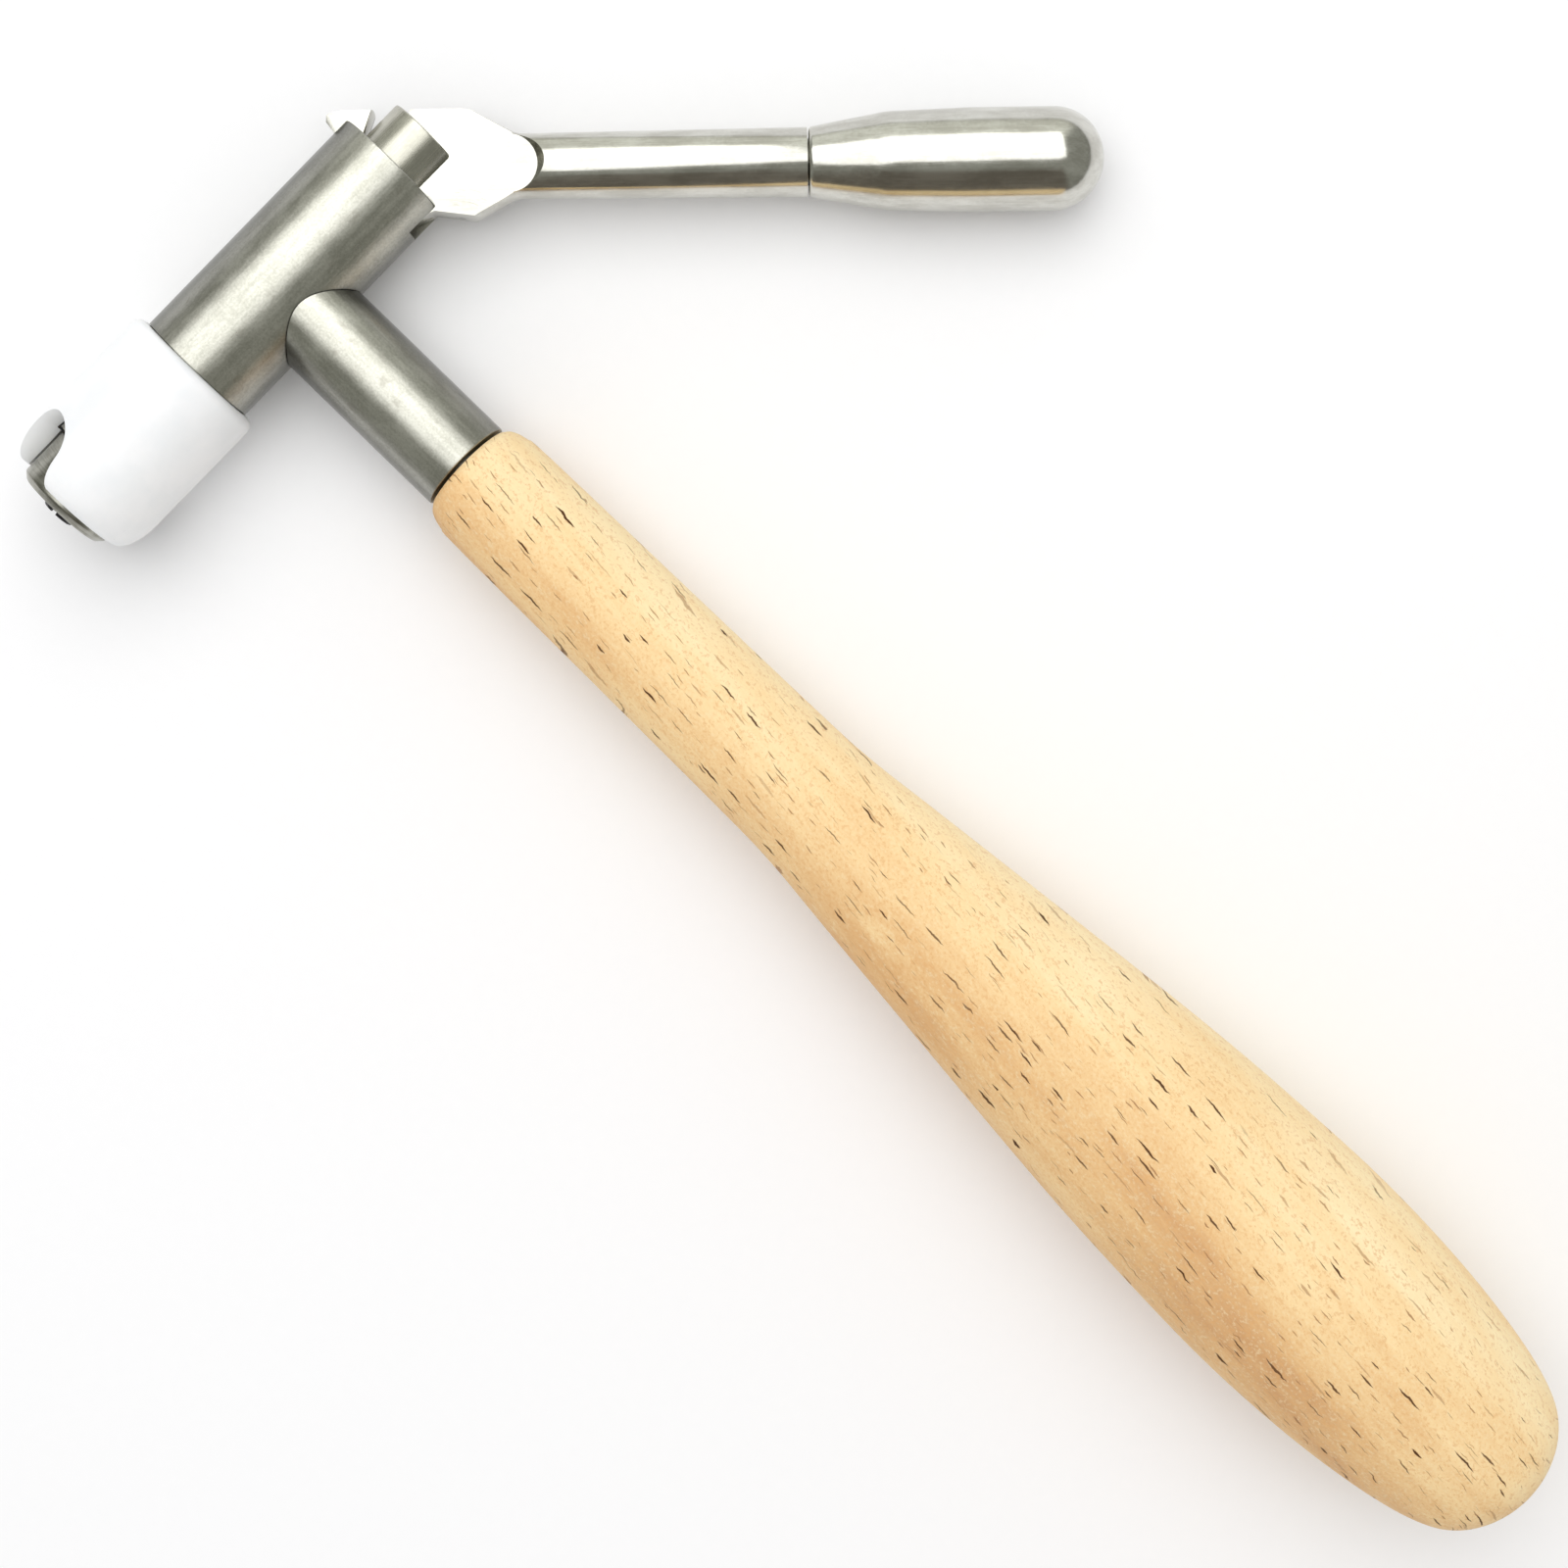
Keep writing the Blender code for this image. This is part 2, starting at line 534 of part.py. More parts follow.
def lever_grip(pivot, lever_origin):
    """The thicker end of the lever, pressed on the rod's tenon."""
    bore = TENON_RADIUS + RUNNING_GAP
    front = GRIP_START + RUNNING_GAP
    dome = [(x, y) for y, x in arc((GRIP_END - GRIP_RADIUS, 0), GRIP_RADIUS, 0, 90, 9)]
    bore_end = GRIP_START + TENON_LENGTH + FACE_GAP
    profile = dome + [
        (GRIP_RADIUS, GRIP_FULL),
        (GRIP_CONE_RADIUS + GRIP_CONE_BLEND / 12, GRIP_CONE_END + GRIP_CONE_BLEND),
        (GRIP_CONE_RADIUS, GRIP_CONE_END),
        (GRIP_CONE_RADIUS - GRIP_CONE_BLEND / 5, GRIP_CONE_END - GRIP_CONE_BLEND),
        (LEVER_ROD_END_RADIUS, front),
        (bore, front),
        (bore, bore_end),
        (0, bore_end),
    ]
    grip = turned("lever_grip", [(max(r, 0), h) for r, h in profile], pivot, "X")
    grip.location = lever_origin
    return finish(grip, "polished_steel")


# ---- draw rod and what it carries -------------------------------------------------------------------
def draw_rod(axis, frame):
    """The forked rod: its slot takes the lever's tongue, its thin end runs down through the bush."""
    top = HEAD_TOP + ROD_STAND_OUT
    fork_floor = PIN_HEIGHT - BOSS_RADIUS - FORK_CLEARANCE
    shoulder = BUSH_TOP + ROD_STOP_HEIGHT
    seat = BUSH_TOP + FACE_GAP
    bottom = HOLDER_TOP - ROD_THREAD_LENGTH
    profile = [
        (0, top),
        (ROD_RADIUS - ROD_CHAMFER, top),
        (ROD_RADIUS, top - ROD_CHAMFER),
        (ROD_RADIUS, shoulder),
        (ROD_STOP_RADIUS, shoulder),
        (ROD_STOP_RADIUS, seat),
        (ROD_NECK_RADIUS, seat),
        (ROD_NECK_RADIUS, bottom),
        (0, bottom),
    ]
    rod = turned("draw_rod", profile, axis, "Y")
    wide = ROD_RADIUS + CUT_OVER
    high_corner = (wide, top + CUT_OVER, SLOT_HALF)
    boolean(rod, box_cutter("fork_slot", (-wide, fork_floor, -SLOT_HALF), high_corner, frame))
    hole = PIN_RADIUS + RUNNING_GAP
    pin_hole = cylinder_cutter("pin_hole", hole, -wide, wide, frame, None, (0, PIN_HEIGHT, 0))
    boolean(rod, pin_hole)
    return finish(rod, "polished_steel")


def lever_pin(axis):
    half = ROD_RADIUS - SLIDE_GAP
    profile = [(0, half), (PIN_RADIUS, half), (PIN_RADIUS, -half), (0, -half)]
    pin = turned("lever_pin", profile, axis, None, 24)
    pin.location.y = PIN_HEIGHT
    return finish(pin, "turned_steel")


def lock_nut(axis):
    bore = ROD_NECK_RADIUS + RUNNING_GAP
    outer = BORE_RADIUS - FACE_GAP
    nut = ring("lock_nut", bore, outer, LOCK_NUT_TOP - LOCK_NUT_HEIGHT, LOCK_NUT_TOP, axis, "Y")
    return finish(nut, "brass")


def collet_holder(axis):
    """Screwed on the draw rod's thin end, it grips the collet's shank from outside."""
    rod_bore = ROD_NECK_RADIUS + RUNNING_GAP
    shank_bore = COLLET_RADIUS + RUNNING_GAP
    shank_top = COLLET_TOP + FACE_GAP
    head = HOLDER_TOP - HOLDER_HEAD_HEIGHT
    profile = [
        (rod_bore, HOLDER_TOP),
        (BORE_RADIUS - FACE_GAP, HOLDER_TOP),
        (BORE_RADIUS - FACE_GAP, head),
        (HOLDER_RADIUS, head),
        (HOLDER_RADIUS, HOLDER_BOTTOM),
        (shank_bore, HOLDER_BOTTOM),
        (shank_bore, shank_top),
        (rod_bore, shank_top),
    ]
    return finish(turned("collet_holder", profile, axis, "Y", closed=True), "turned_steel")


def collet(axis, frame):
    """A slit tube with a tapered tip; its jaws stay joined at the shank."""
    jaw_top = COLLET_BOTTOM + COLLET_JAW_LENGTH
    profile = [
        (COLLET_BORE, COLLET_TOP),
        (COLLET_RADIUS - COLLET_CHAMFER, COLLET_TOP),
        (COLLET_RADIUS, COLLET_TOP - COLLET_CHAMFER),
        (COLLET_RADIUS, COLLET_BOTTOM + COLLET_TAPER),
        (COLLET_TIP_RADIUS, COLLET_BOTTOM),
        (COLLET_JAW_BORE, COLLET_BOTTOM),
        (COLLET_JAW_BORE, jaw_top),
        (COLLET_BORE, jaw_top + COLLET_JAW_STEP),
    ]
    body = turned("collet", profile, axis, "Y", closed=True)
    wide = COLLET_RADIUS + CUT_OVER
    half = COLLET_SLIT / 2
    low = COLLET_BOTTOM - CUT_OVER
    high = COLLET_BOTTOM + COLLET_SLIT_LENGTH
    for name, x, z in (("slit_across", wide, half), ("slit_upright", half, wide)):
        boolean(body, box_cutter(name, (-x, low, -z), (x, high, z), frame))
    return finish(body, "black_oxide")


# ---- fixed inside the head tube ---------------------------------------------------------------------
def guide_bush(frame):
    inner = ROD_NECK_RADIUS + RUNNING_GAP
    bush = ring("guide_bush", inner, BORE_RADIUS - RUNNING_GAP, BUSH_TOP - BUSH_LENGTH, BUSH_TOP, frame, "Y")
    return finish(bush, "brass")


def bush_clip(frame):
    """An open spring ring in the tube's groove, over the bush."""
    outer = BORE_RADIUS + CLIP_GROOVE - RUNNING_GAP
    low = BUSH_TOP + RUNNING_GAP
    clip = ring("bush_clip", outer - CLIP_WIDTH, outer, low, low + CLIP_THICKNESS, frame, "Y")
    half = CLIP_OPENING / 2
    gap_low = (-half, low - CUT_OVER, -outer - CUT_OVER)
    gap_high = (half, low + CLIP_THICKNESS + CUT_OVER, 0)
    boolean(clip, box_cutter("clip_opening", gap_low, gap_high, frame))
    return finish(clip, "spring_steel")


def return_spring(frame):
    low = LOCK_NUT_TOP + RUNNING_GAP
    high = BUSH_TOP - BUSH_LENGTH - RUNNING_GAP
    radius = BORE_RADIUS - SPRING_WIRE - FACE_GAP
    spring = coil("return_spring", radius, low, high, RETURN_SPRING_TURNS - 2, frame)
    return finish(spring, "spring_steel")


# ---- nose -------------------------------------------------------------------------------------------
def nose_cap(axis):
    """The white cap, with two opposite arched windows open at its mouth and a ledge inside."""
    ledge = CAP_MOUTH + CAP_LEDGE_HEIGHT
    mouth_bore = SLEEVE_RADIUS + SLIDE_GAP
    top_corner = arc((CAP_RADIUS - CAP_TOP_ROUND, HEAD_SHOULDER - CAP_TOP_ROUND), CAP_TOP_ROUND, 90, 0, 6)
    mouth_corner = [
        (CAP_RIM_RADIUS + CAP_RIM_STEP * math.cos(a), CAP_MOUTH + CAP_MOUTH_ROUND * (1 - math.sin(a)))
        for a in np.radians(np.linspace(0, 90, 9))
    ]
    top_corner = [(radius, height - RUNNING_GAP) for radius, height in top_corner]
    profile = [(CAP_BORE, HEAD_SHOULDER - RUNNING_GAP)] + top_corner + mouth_corner
    profile += [(mouth_bore, CAP_MOUTH), (mouth_bore, ledge), (CAP_BORE, ledge)]
    cap = turned("nose_cap", profile, axis, "Y", FINE_STEPS, closed=True)
    half = WINDOW_WIDTH / 2
    straight = CAP_MOUTH + WINDOW_HEIGHT - half
    foot = CAP_MOUTH - CUT_OVER
    arch = [(half, foot)] + arc((0, straight), half, 0, 180, 15) + [(-half, foot)]
    window = outline_cutter("windows", arch, CAP_RADIUS + CUT_OVER, axis)
    window.rotation_euler.y = -WINDOW_ANGLE
    boolean(cap, window)
    return finish(cap, "white_plastic")


def pressure_sleeve(axis):
    """Guided in the head tube's spigot, it holds the work down round the collet."""
    head_bore = COLLET_RADIUS + SLIDE_GAP
    neck_bore = HOLDER_RADIUS + SLIDE_GAP
    step = SLEEVE_MOUTH + SLEEVE_HEAD / 2
    profile = [
        (neck_bore, SLEEVE_NECK_TOP),
        (SLEEVE_NECK_RADIUS, SLEEVE_NECK_TOP),
        (SLEEVE_NECK_RADIUS, SLEEVE_SHOULDER),
        (SLEEVE_RADIUS - SLEEVE_CHAMFER, SLEEVE_SHOULDER),
        (SLEEVE_RADIUS, SLEEVE_SHOULDER - SLEEVE_CHAMFER),
        (SLEEVE_RADIUS, SLEEVE_MOUTH + SLEEVE_BEVEL),
        (SLEEVE_RADIUS - SLEEVE_BEVEL, SLEEVE_MOUTH),
        (head_bore + SLEEVE_BEVEL / 2, SLEEVE_MOUTH),
        (head_bore, SLEEVE_MOUTH + SLEEVE_BEVEL),
        (head_bore, step),
        (neck_bore, step + SLEEVE_BEVEL),
    ]
    return finish(turned("pressure_sleeve", profile, axis, "Y", closed=True), "turned_steel")


def sleeve_ring(axis):
    """A loose washer on the sleeve's shoulder: the cap's ledge catches it and the spring presses on it."""
    inner = SLEEVE_NECK_RADIUS + RUNNING_GAP
    outer = CAP_BORE - RUNNING_GAP
    high = SLEEVE_RING_LOW + SLEEVE_RING_THICKNESS
    return finish(ring("sleeve_ring", inner, outer, SLEEVE_RING_LOW, high, axis, "Y"), "spring_steel")


def sleeve_spring(frame):
    low = SLEEVE_RING_LOW + SLEEVE_RING_THICKNESS + RUNNING_GAP
    radius = (SLEEVE_NECK_RADIUS + CAP_BORE) / 2
    spring = coil("sleeve_spring", radius, low, SPIGOT_END - RUNNING_GAP, SLEEVE_SPRING_TURNS - 2, frame)
    return finish(spring, "spring_steel")


# ---- lying on the bench -----------------------------------------------------------------------------
def lay_on_bench(tool):
    """Turns the tool so that handle, nose cap and lever grip touch the bench, and centres it there."""
    belly_at, belly_radius = max(HANDLE_STATIONS, key=lambda station: station[1])
    belly = Vector((HANDLE_FRONT + belly_at, 0, -belly_radius))
    cap = Vector((0, HEAD_SHOULDER - CAP_TOP_ROUND, -CAP_RADIUS))
    along = GRIP_END - GRIP_RADIUS
    grip = LEVER_CENTRE + Vector((along * math.cos(LEVER_ANGLE), along * math.sin(LEVER_ANGLE), -GRIP_RADIUS))
    up = (grip - cap).cross(belly - cap)
    up = up if up.z > 0 else -up
    up.normalize()
    ahead = (Vector((1, 0, 0)) - up * up.x).normalized()
    side = up.cross(ahead)
    tool.rotation_mode = "QUATERNION"
    tool.rotation_quaternion = Matrix((ahead, side, up)).to_quaternion()
    low, high = part_bounds()
    tool.location = (-(low.x + high.x) / 2, -(low.y + high.y) / 2, -low.z)
    bpy.context.view_layer.update()


def part_bounds():
    """Lowest and highest corners of all parts, as they stand."""
    bpy.context.view_layer.update()
    graph = bpy.context.evaluated_depsgraph_get()
    lows, highs = [], []
    for obj in PARTS.objects:
        if obj.type == "EMPTY":
            continue
        evaluated = obj.evaluated_get(graph)
        mesh = evaluated.to_mesh()
        points = np.empty(len(mesh.vertices) * 3, np.float32)
        mesh.vertices.foreach_get("co", points)
        evaluated.to_mesh_clear()
        world = np.array(evaluated.matrix_world)
        points = points.reshape(-1, 3) @ world[:3, :3].T + world[:3, 3]
        lows.append(points.min(axis=0))
        highs.append(points.max(axis=0))
    return Vector(np.min(lows, axis=0)), Vector(np.max(highs, axis=0))


def build():
    make_materials()
    tool = empty("tool_frame", None)
    lever_pivot = empty("lever_pivot", tool, FULCRUM, LEVER_ANGLE)
    draw_axis = empty("draw_axis", tool)
    sleeve_axis = empty("sleeve_axis", tool)
    cap_axis = empty("cap_axis", tool)

    head_tube(tool)
    stem_tube(tool)
    handle_tang(tool)
    handle_grip(tool)
    guide_bush(tool)
    bush_clip(tool)
    return_spring(tool)

    crossing = LEVER_CENTRE - FULCRUM
    crossing.rotate(lever_pivot.rotation_euler.to_matrix().inverted())
    arm = lever_arm(lever_pivot, crossing)
    cut_lever_tongue(arm, tool)
    lever_grip(lever_pivot, crossing)

    draw_rod(draw_axis, tool)
    lever_pin(draw_axis)
    lock_nut(draw_axis)
    collet_holder(draw_axis)
    collet(draw_axis, tool)

    nose_cap(cap_axis)
    pressure_sleeve(sleeve_axis)
    sleeve_ring(sleeve_axis)
    sleeve_spring(tool)
    lay_on_bench(tool)


clear_scene()
PARTS = new_collection("lever_puller")
CUTTERS = new_collection("cutters", hidden=True)
build()
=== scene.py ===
"""Looks, studio and camera for a hand-held lever puller for watch work.

Every piece is built in the tool's own frame, in millimetres: +X runs along the handle from the point
where its axis meets the head tube's, +Y up the head tube to the lever, and +Z out of the plane of both.
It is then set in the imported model's frame, in metres, and rides on its CAD body.
"""

from __future__ import annotations

import json
import logging
import math
from abc import ABC, abstractmethod
from dataclasses import dataclass, field
from enum import Enum
from typing import Any, Callable, Mapping, Sequence, Union

import bmesh
import bpy
import numpy as np
from mathutils import Matrix, Vector

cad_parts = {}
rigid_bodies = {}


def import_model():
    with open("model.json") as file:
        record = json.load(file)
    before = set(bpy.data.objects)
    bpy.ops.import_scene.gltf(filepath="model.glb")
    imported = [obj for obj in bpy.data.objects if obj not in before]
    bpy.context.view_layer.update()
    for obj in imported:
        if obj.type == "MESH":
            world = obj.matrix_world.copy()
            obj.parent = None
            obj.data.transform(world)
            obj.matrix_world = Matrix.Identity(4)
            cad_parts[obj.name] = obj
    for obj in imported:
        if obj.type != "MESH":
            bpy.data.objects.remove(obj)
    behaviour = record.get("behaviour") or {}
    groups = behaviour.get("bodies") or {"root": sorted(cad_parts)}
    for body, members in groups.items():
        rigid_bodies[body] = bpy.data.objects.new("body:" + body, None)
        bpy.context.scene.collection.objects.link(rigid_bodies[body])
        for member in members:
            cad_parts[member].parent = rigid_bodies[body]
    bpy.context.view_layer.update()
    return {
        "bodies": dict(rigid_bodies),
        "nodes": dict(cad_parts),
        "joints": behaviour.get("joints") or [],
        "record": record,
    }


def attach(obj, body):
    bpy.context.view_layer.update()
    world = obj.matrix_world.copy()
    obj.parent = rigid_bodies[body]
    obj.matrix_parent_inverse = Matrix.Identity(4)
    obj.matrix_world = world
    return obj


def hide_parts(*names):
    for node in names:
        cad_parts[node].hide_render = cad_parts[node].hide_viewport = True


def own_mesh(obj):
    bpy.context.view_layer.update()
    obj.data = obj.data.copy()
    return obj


LOG = logging.getLogger("lever_puller")
MM = 0.001
Profile = list[tuple[float, float]]
Colour = tuple[float, float, float]


# ---- frames -----------------------------------------------------------------------------------------
@dataclass(frozen=True)
class ToolFrame:
    """Where the tool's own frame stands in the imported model."""

    origin: Vector
    along_handle: Vector
    up_head: Vector
    out: Vector

    @classmethod
    def from_joints(cls, joints: Sequence[Mapping[str, Any]]) -> "ToolFrame":
        """Reads the frame off the joints' axes.

        Args:
            joints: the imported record's joints.

        Returns:
            The tool's frame in the row frame.
        """
        named = {joint["name"]: joint for joint in joints}
        up_head = Vector(named["draw_slide"]["axis"]).normalized()
        out = -Vector(named["lever_rock"]["axis"]).normalized()
        return cls(Vector(named["cap_swivel"]["pos_m"]), up_head.cross(out).normalized(), up_head, out)

    @property
    def matrix(self) -> Matrix:
        """Takes millimetres in the tool's frame to metres in the row frame."""
        turn = Matrix((self.along_handle, self.up_head, self.out)).transposed().to_4x4()
        return Matrix.Translation(self.origin) @ turn @ Matrix.Scale(MM, 4)

    def direction(self, vector: Sequence[float]) -> Vector:
        """A tool-frame direction in the row frame."""
        return (self.matrix.to_3x3() @ Vector(vector)).normalized()


LEVER_CENTRE = (0.0, 12.75, 0.0)
LEVER_ANGLE = math.radians(45)


class Spindle(Enum):
    """A turning axis in the tool's frame: a point on it and its direction."""

    HANDLE = ((0.0, 0.0, 0.0), (1.0, 0.0, 0.0))
    HEAD = ((0.0, 0.0, 0.0), (0.0, 1.0, 0.0))
    LEVER = (LEVER_CENTRE, (math.cos(LEVER_ANGLE), math.sin(LEVER_ANGLE), 0.0))
    PIN = ((0.0, 9.5, 0.0), (0.0, 0.0, 1.0))

    @property
    def start(self) -> Vector:
        """A point on the axis."""
        return Vector(self.value[0])

    @property
    def along(self) -> Vector:
        """The axis's direction."""
        return Vector(self.value[1])

    @property
    def lift(self) -> Vector:
        """A direction square to the axis, out of the tool's plane where it can be."""
        return Vector((0, 1, 0)) if self is Spindle.PIN else Vector((0, 0, 1))

    @property
    def side(self) -> Vector:
        """The direction square to axis and lift."""
        return self.along.cross(self.lift)

    def point(self, along: float, side: float = 0.0, lift: float = 0.0) -> Vector:
        """A point given along and across the axis, in the tool's frame."""
        return self.start + self.along * along + self.side * side + self.lift * lift


# ---- shader expressions -----------------------------------------------------------------------------
def operator(operation: str, reflected: bool = False) -> Callable[["Wire", "Value"], "Wire"]:
    """Makes one of Wire's arithmetic methods.

    Args:
        operation: the node's operation.
        reflected: whether the wire is the second of the two values.

    Returns:
        The method, which adds the node.
    """

    def method(wire: "Wire", other: "Value") -> "Wire":
        first, second = (other, wire) if reflected else (wire, other)
        return wire.graph.calculate(operation, first, second)

    return method


class Wire:
    """A shader socket. Arithmetic on it adds the nodes that work the value out."""

    def __init__(self, graph: "Graph", socket: bpy.types.NodeSocket) -> None:
        """Wraps an output socket of a graph's node."""
        self.graph = graph
        self.socket = socket

    @property
    def is_vector(self) -> bool:
        """Whether the socket carries a vector or a colour."""
        return self.socket.type in ("VECTOR", "RGBA")

    def other(self, name: str) -> "Wire":
        """Another output of the same node."""
        return Wire(self.graph, self.socket.node.outputs[name])

    __add__ = operator("ADD")
    __radd__ = operator("ADD", reflected=True)
    __sub__ = operator("SUBTRACT")
    __rsub__ = operator("SUBTRACT", reflected=True)
    __mul__ = operator("MULTIPLY")
    __rmul__ = operator("MULTIPLY", reflected=True)
    __truediv__ = operator("DIVIDE")
    __rtruediv__ = operator("DIVIDE", reflected=True)

    def __abs__(self) -> "Wire":
        """Absolute value."""
        return self.graph.calculate("ABSOLUTE", self)


Value = Union[Wire, float, int, Sequence[float], Vector]


class Graph:
    """A node tree that is written as expressions."""

    def __init__(self, tree: bpy.types.NodeTree) -> None:
        """Starts from an emptied node tree."""
        self.tree = tree
        tree.nodes.clear()

    def node(
        self,
        kind: str,
        settings: Mapping[str, Any] | None = None,
        sockets: Mapping[str | int, Value] | None = None,
        output: str | int = 0,
    ) -> Wire:
        """Adds a node.

        Args:
            kind: the node's type, without the words "ShaderNode".
            settings: the node's own properties; "stops" gives a ramp's (position, colour) pairs.
            sockets: values or links by input name or index.
            output: the output to return.

        Returns:
            The chosen output.
        """
        made = self.tree.nodes.new("ShaderNode" + kind)
        for name, value in (settings or {}).items():
            if name == "stops":
                self._set_stops(made.color_ramp, value)
            else:
                setattr(made, name, value)
        for name, value in (sockets or {}).items():
            socket = made.inputs[name]
            if isinstance(value, Wire):
                self.tree.links.new(value.socket, socket)
            elif socket.type == "RGBA" and len(value) == 3:
                socket.default_value = (*value, 1.0)
            else:
                socket.default_value = value
        return Wire(self, made.outputs[output]) if made.outputs else Wire(self, made.inputs[0])

    @staticmethod
    def _set_stops(ramp: bpy.types.ColorRamp, stops: Sequence[tuple[float, Colour]]) -> None:
        """Gives a colour ramp its stops."""
        while len(ramp.elements) < len(stops):
            ramp.elements.new(1.0)
        for element, (position, colour) in zip(ramp.elements, stops):
            element.position = position
            element.color = (*colour, 1.0)

    def calculate(self, operation: str, first: Value, second: Value | None = None) -> Wire:
        """Adds a Math node, or a Vector Math node where a value is a vector or a colour."""
        values = [value for value in (first, second) if value is not None]
        if any(isinstance(value, Wire) and value.is_vector for value in values):
            spread = [(value,) * 3 if isinstance(value, (int, float)) else value for value in values]
            return self.node("VectorMath", {"operation": operation}, dict(enumerate(spread)))
        return self.node("Math", {"operation": operation}, dict(enumerate(values)))

    def dot(self, first: Value, second: Value) -> Wire:
        """Dot product of two vectors."""
        return self.node("VectorMath", {"operation": "DOT_PRODUCT"}, {0: first, 1: second}, "Value")

    def vector(self, x: Value, y: Value, z: Value) -> Wire:
        """A vector of three values."""
        return self.node("CombineXYZ", {}, {"X": x, "Y": y, "Z": z})

    def split(self, vector: Wire) -> tuple[Wire, Wire, Wire]:
        """A vector's three values."""
        parts = self.node("SeparateXYZ", {}, {0: vector})
        return parts, parts.other("Y"), parts.other("Z")

    def noise(self, at: Value, scale: float = 1.0, detail: float = 2.0, roughness: float = 0.5) -> Wire:
        """Noise from 0 to 1, about 0.5 on the whole."""
        sockets = {"Vector": at, "Scale": scale, "Detail": detail, "Roughness": roughness}
        return self.node("TexNoise", {}, sockets, "Fac")

    def between(self, value: Wire, low: float, high: float, start: float = 0.0, end: float = 1.0) -> Wire:
        """A smooth step: start where value is low, end where it is high."""
        sockets = {"Value": value, 1: low, 2: high, 3: start, 4: end}
        return self.node("MapRange", {"interpolation_type": "SMOOTHSTEP"}, sockets)

    def ramp(self, value: Wire, stops: Sequence[tuple[float, Colour]]) -> Wire:
        """A colour for a value from 0 to 1."""
        return self.node("ValToRGB", {"stops": stops}, {0: value})

    def mix(self, share: Value, first: Value, second: Value) -> Wire:
        """A mix of two colours."""
        return self.node("Mix", {"data_type": "RGBA"}, {0: share, 6: first, 7: second}, 2)

    def bump(self, height: Wire, depth_mm: float, strength: float = 1.0) -> Wire:
        """A normal from a height between 0 and 1 that stands for depth_mm."""
        sockets = {"Strength": strength, "Distance": depth_mm * MM, "Height": height}
        return self.node("Bump", {}, sockets)

    def surface(self, sockets: Mapping[str | int, Value]) -> None:
        """Ends a material's graph in one Principled shader."""
        self.node("OutputMaterial", {}, {"Surface": self.node("BsdfPrincipled", {}, sockets)})


@dataclass(frozen=True)
class Place:
    """Where a surface point is on its piece, in millimetres along and across the piece's axis."""

    point: Wire
    along: Wire
    side: Wire
    lift: Wire

    @classmethod
    def on(cls, graph: Graph, frame: ToolFrame, spindle: Spindle) -> "Place":
        """Sets the piece's coordinates up in a material.

        Args:
            graph: the material's graph.
            frame: the tool's frame.
            spindle: the piece's axis.

        Returns:
            The coordinates.
        """
        origin = frame.matrix @ spindle.start
        offset = graph.node("TexCoord", {}, {}, "Object") - tuple(origin)
        parts = [
            graph.dot(offset, tuple(frame.direction(axis) / MM))
            for axis in (spindle.along, spindle.side, spindle.lift)
        ]
        return cls(graph.vector(*parts), *parts)


# ---- finishes ---------------------------------------------------------------------------------------
class Slot(Enum):
    """The record's material slots."""

    SATIN_STEEL = "satin_steel"
    POLISHED_STEEL = "polished_steel"
    TURNED_STEEL = "turned_steel"
    SPRING_STEEL = "spring_steel"
    BLACK_OXIDE = "black_oxide"
    BRASS = "brass"
    WHITE_PLASTIC = "white_plastic"
    BEECH = "beech"


@dataclass(frozen=True)
class Finish(ABC):
    """A finish that a piece is given. It makes one material for each axis it is used on."""

    slot: Slot

    def material(self, frame: ToolFrame, spindle: Spindle) -> bpy.types.Material:
        """The finish's material for a piece on an axis.

        Args:
            frame: the tool's frame.
            spindle: the axis the piece's marks follow.

        Returns:
            The material, made once.
        """
        name = f"{type(self).__name__.lower()}_{self.slot.value}_{spindle.name.lower()}"
        made = bpy.data.materials.get(name)
        if made is None:
            made = bpy.data.materials.new(name)
            made.use_nodes = True
            graph = Graph(made.node_tree)
            self.paint(graph, Place.on(graph, frame, spindle))
        return made

    @abstractmethod
    def paint(self, graph: Graph, place: Place) -> None:
        """Builds the material's graph."""


@dataclass(frozen=True)
class SatinSteel(Finish):
    """Bead-blasted steel: cloudy, with faint drawn lines and small stains, and painted shade towards its
    silhouette.
    """

    slot: Slot = Slot.SATIN_STEEL
    dark: Colour = (0.38, 0.375, 0.33)
    light: Colour = (0.60, 0.595, 0.54)
    stain: Colour = (0.27, 0.25, 0.21)
    # how far painted shade darkens the colour towards the silhouette
    painted_edge_shade: float = 0.62
    roughness: float = 0.31

    def paint(self, graph: Graph, place: Place) -> None:
        """Builds the material's graph."""
        grain = graph.noise(place.point, 5.5, 3.0, 0.7)
        cloud = graph.noise(place.point * (0.28, 0.5, 0.5), 1.0, 4.0, 0.6)
        drawn = graph.noise(place.point * (0.12, 2.6, 2.6), 1.0, 3.0, 0.6)
        tone = cloud * 0.38 + drawn * 0.26 + grain * 0.36
        stain = graph.between(graph.noise(place.point * (0.6, 1.1, 1.1), 0.8, 3.0), 0.62, 0.74)
        colour = graph.mix(graph.between(tone, 0.36, 0.64), self.dark, self.light)
        colour = graph.mix(stain * 0.35, colour, self.stain)
        # Painted shade: the colour darkens where the surface turns away from the camera, towards the
        # silhouette.
        facing = graph.node("LayerWeight", {}, {"Blend": 0.5}, "Facing")
        colour = colour * (1.0 - graph.between(facing, 0.16, 0.72) * self.painted_edge_shade)
        shine = self.roughness + (cloud - 0.5) * 0.16 + (drawn - 0.5) * 0.10 + stain * 0.05
        graph.surface({
            "Base Color": colour,
            "Metallic": 1.0,
            "Roughness": shine,
            "Normal": graph.bump(grain * 0.7 + drawn * 0.3, 0.012, 0.8),
        })


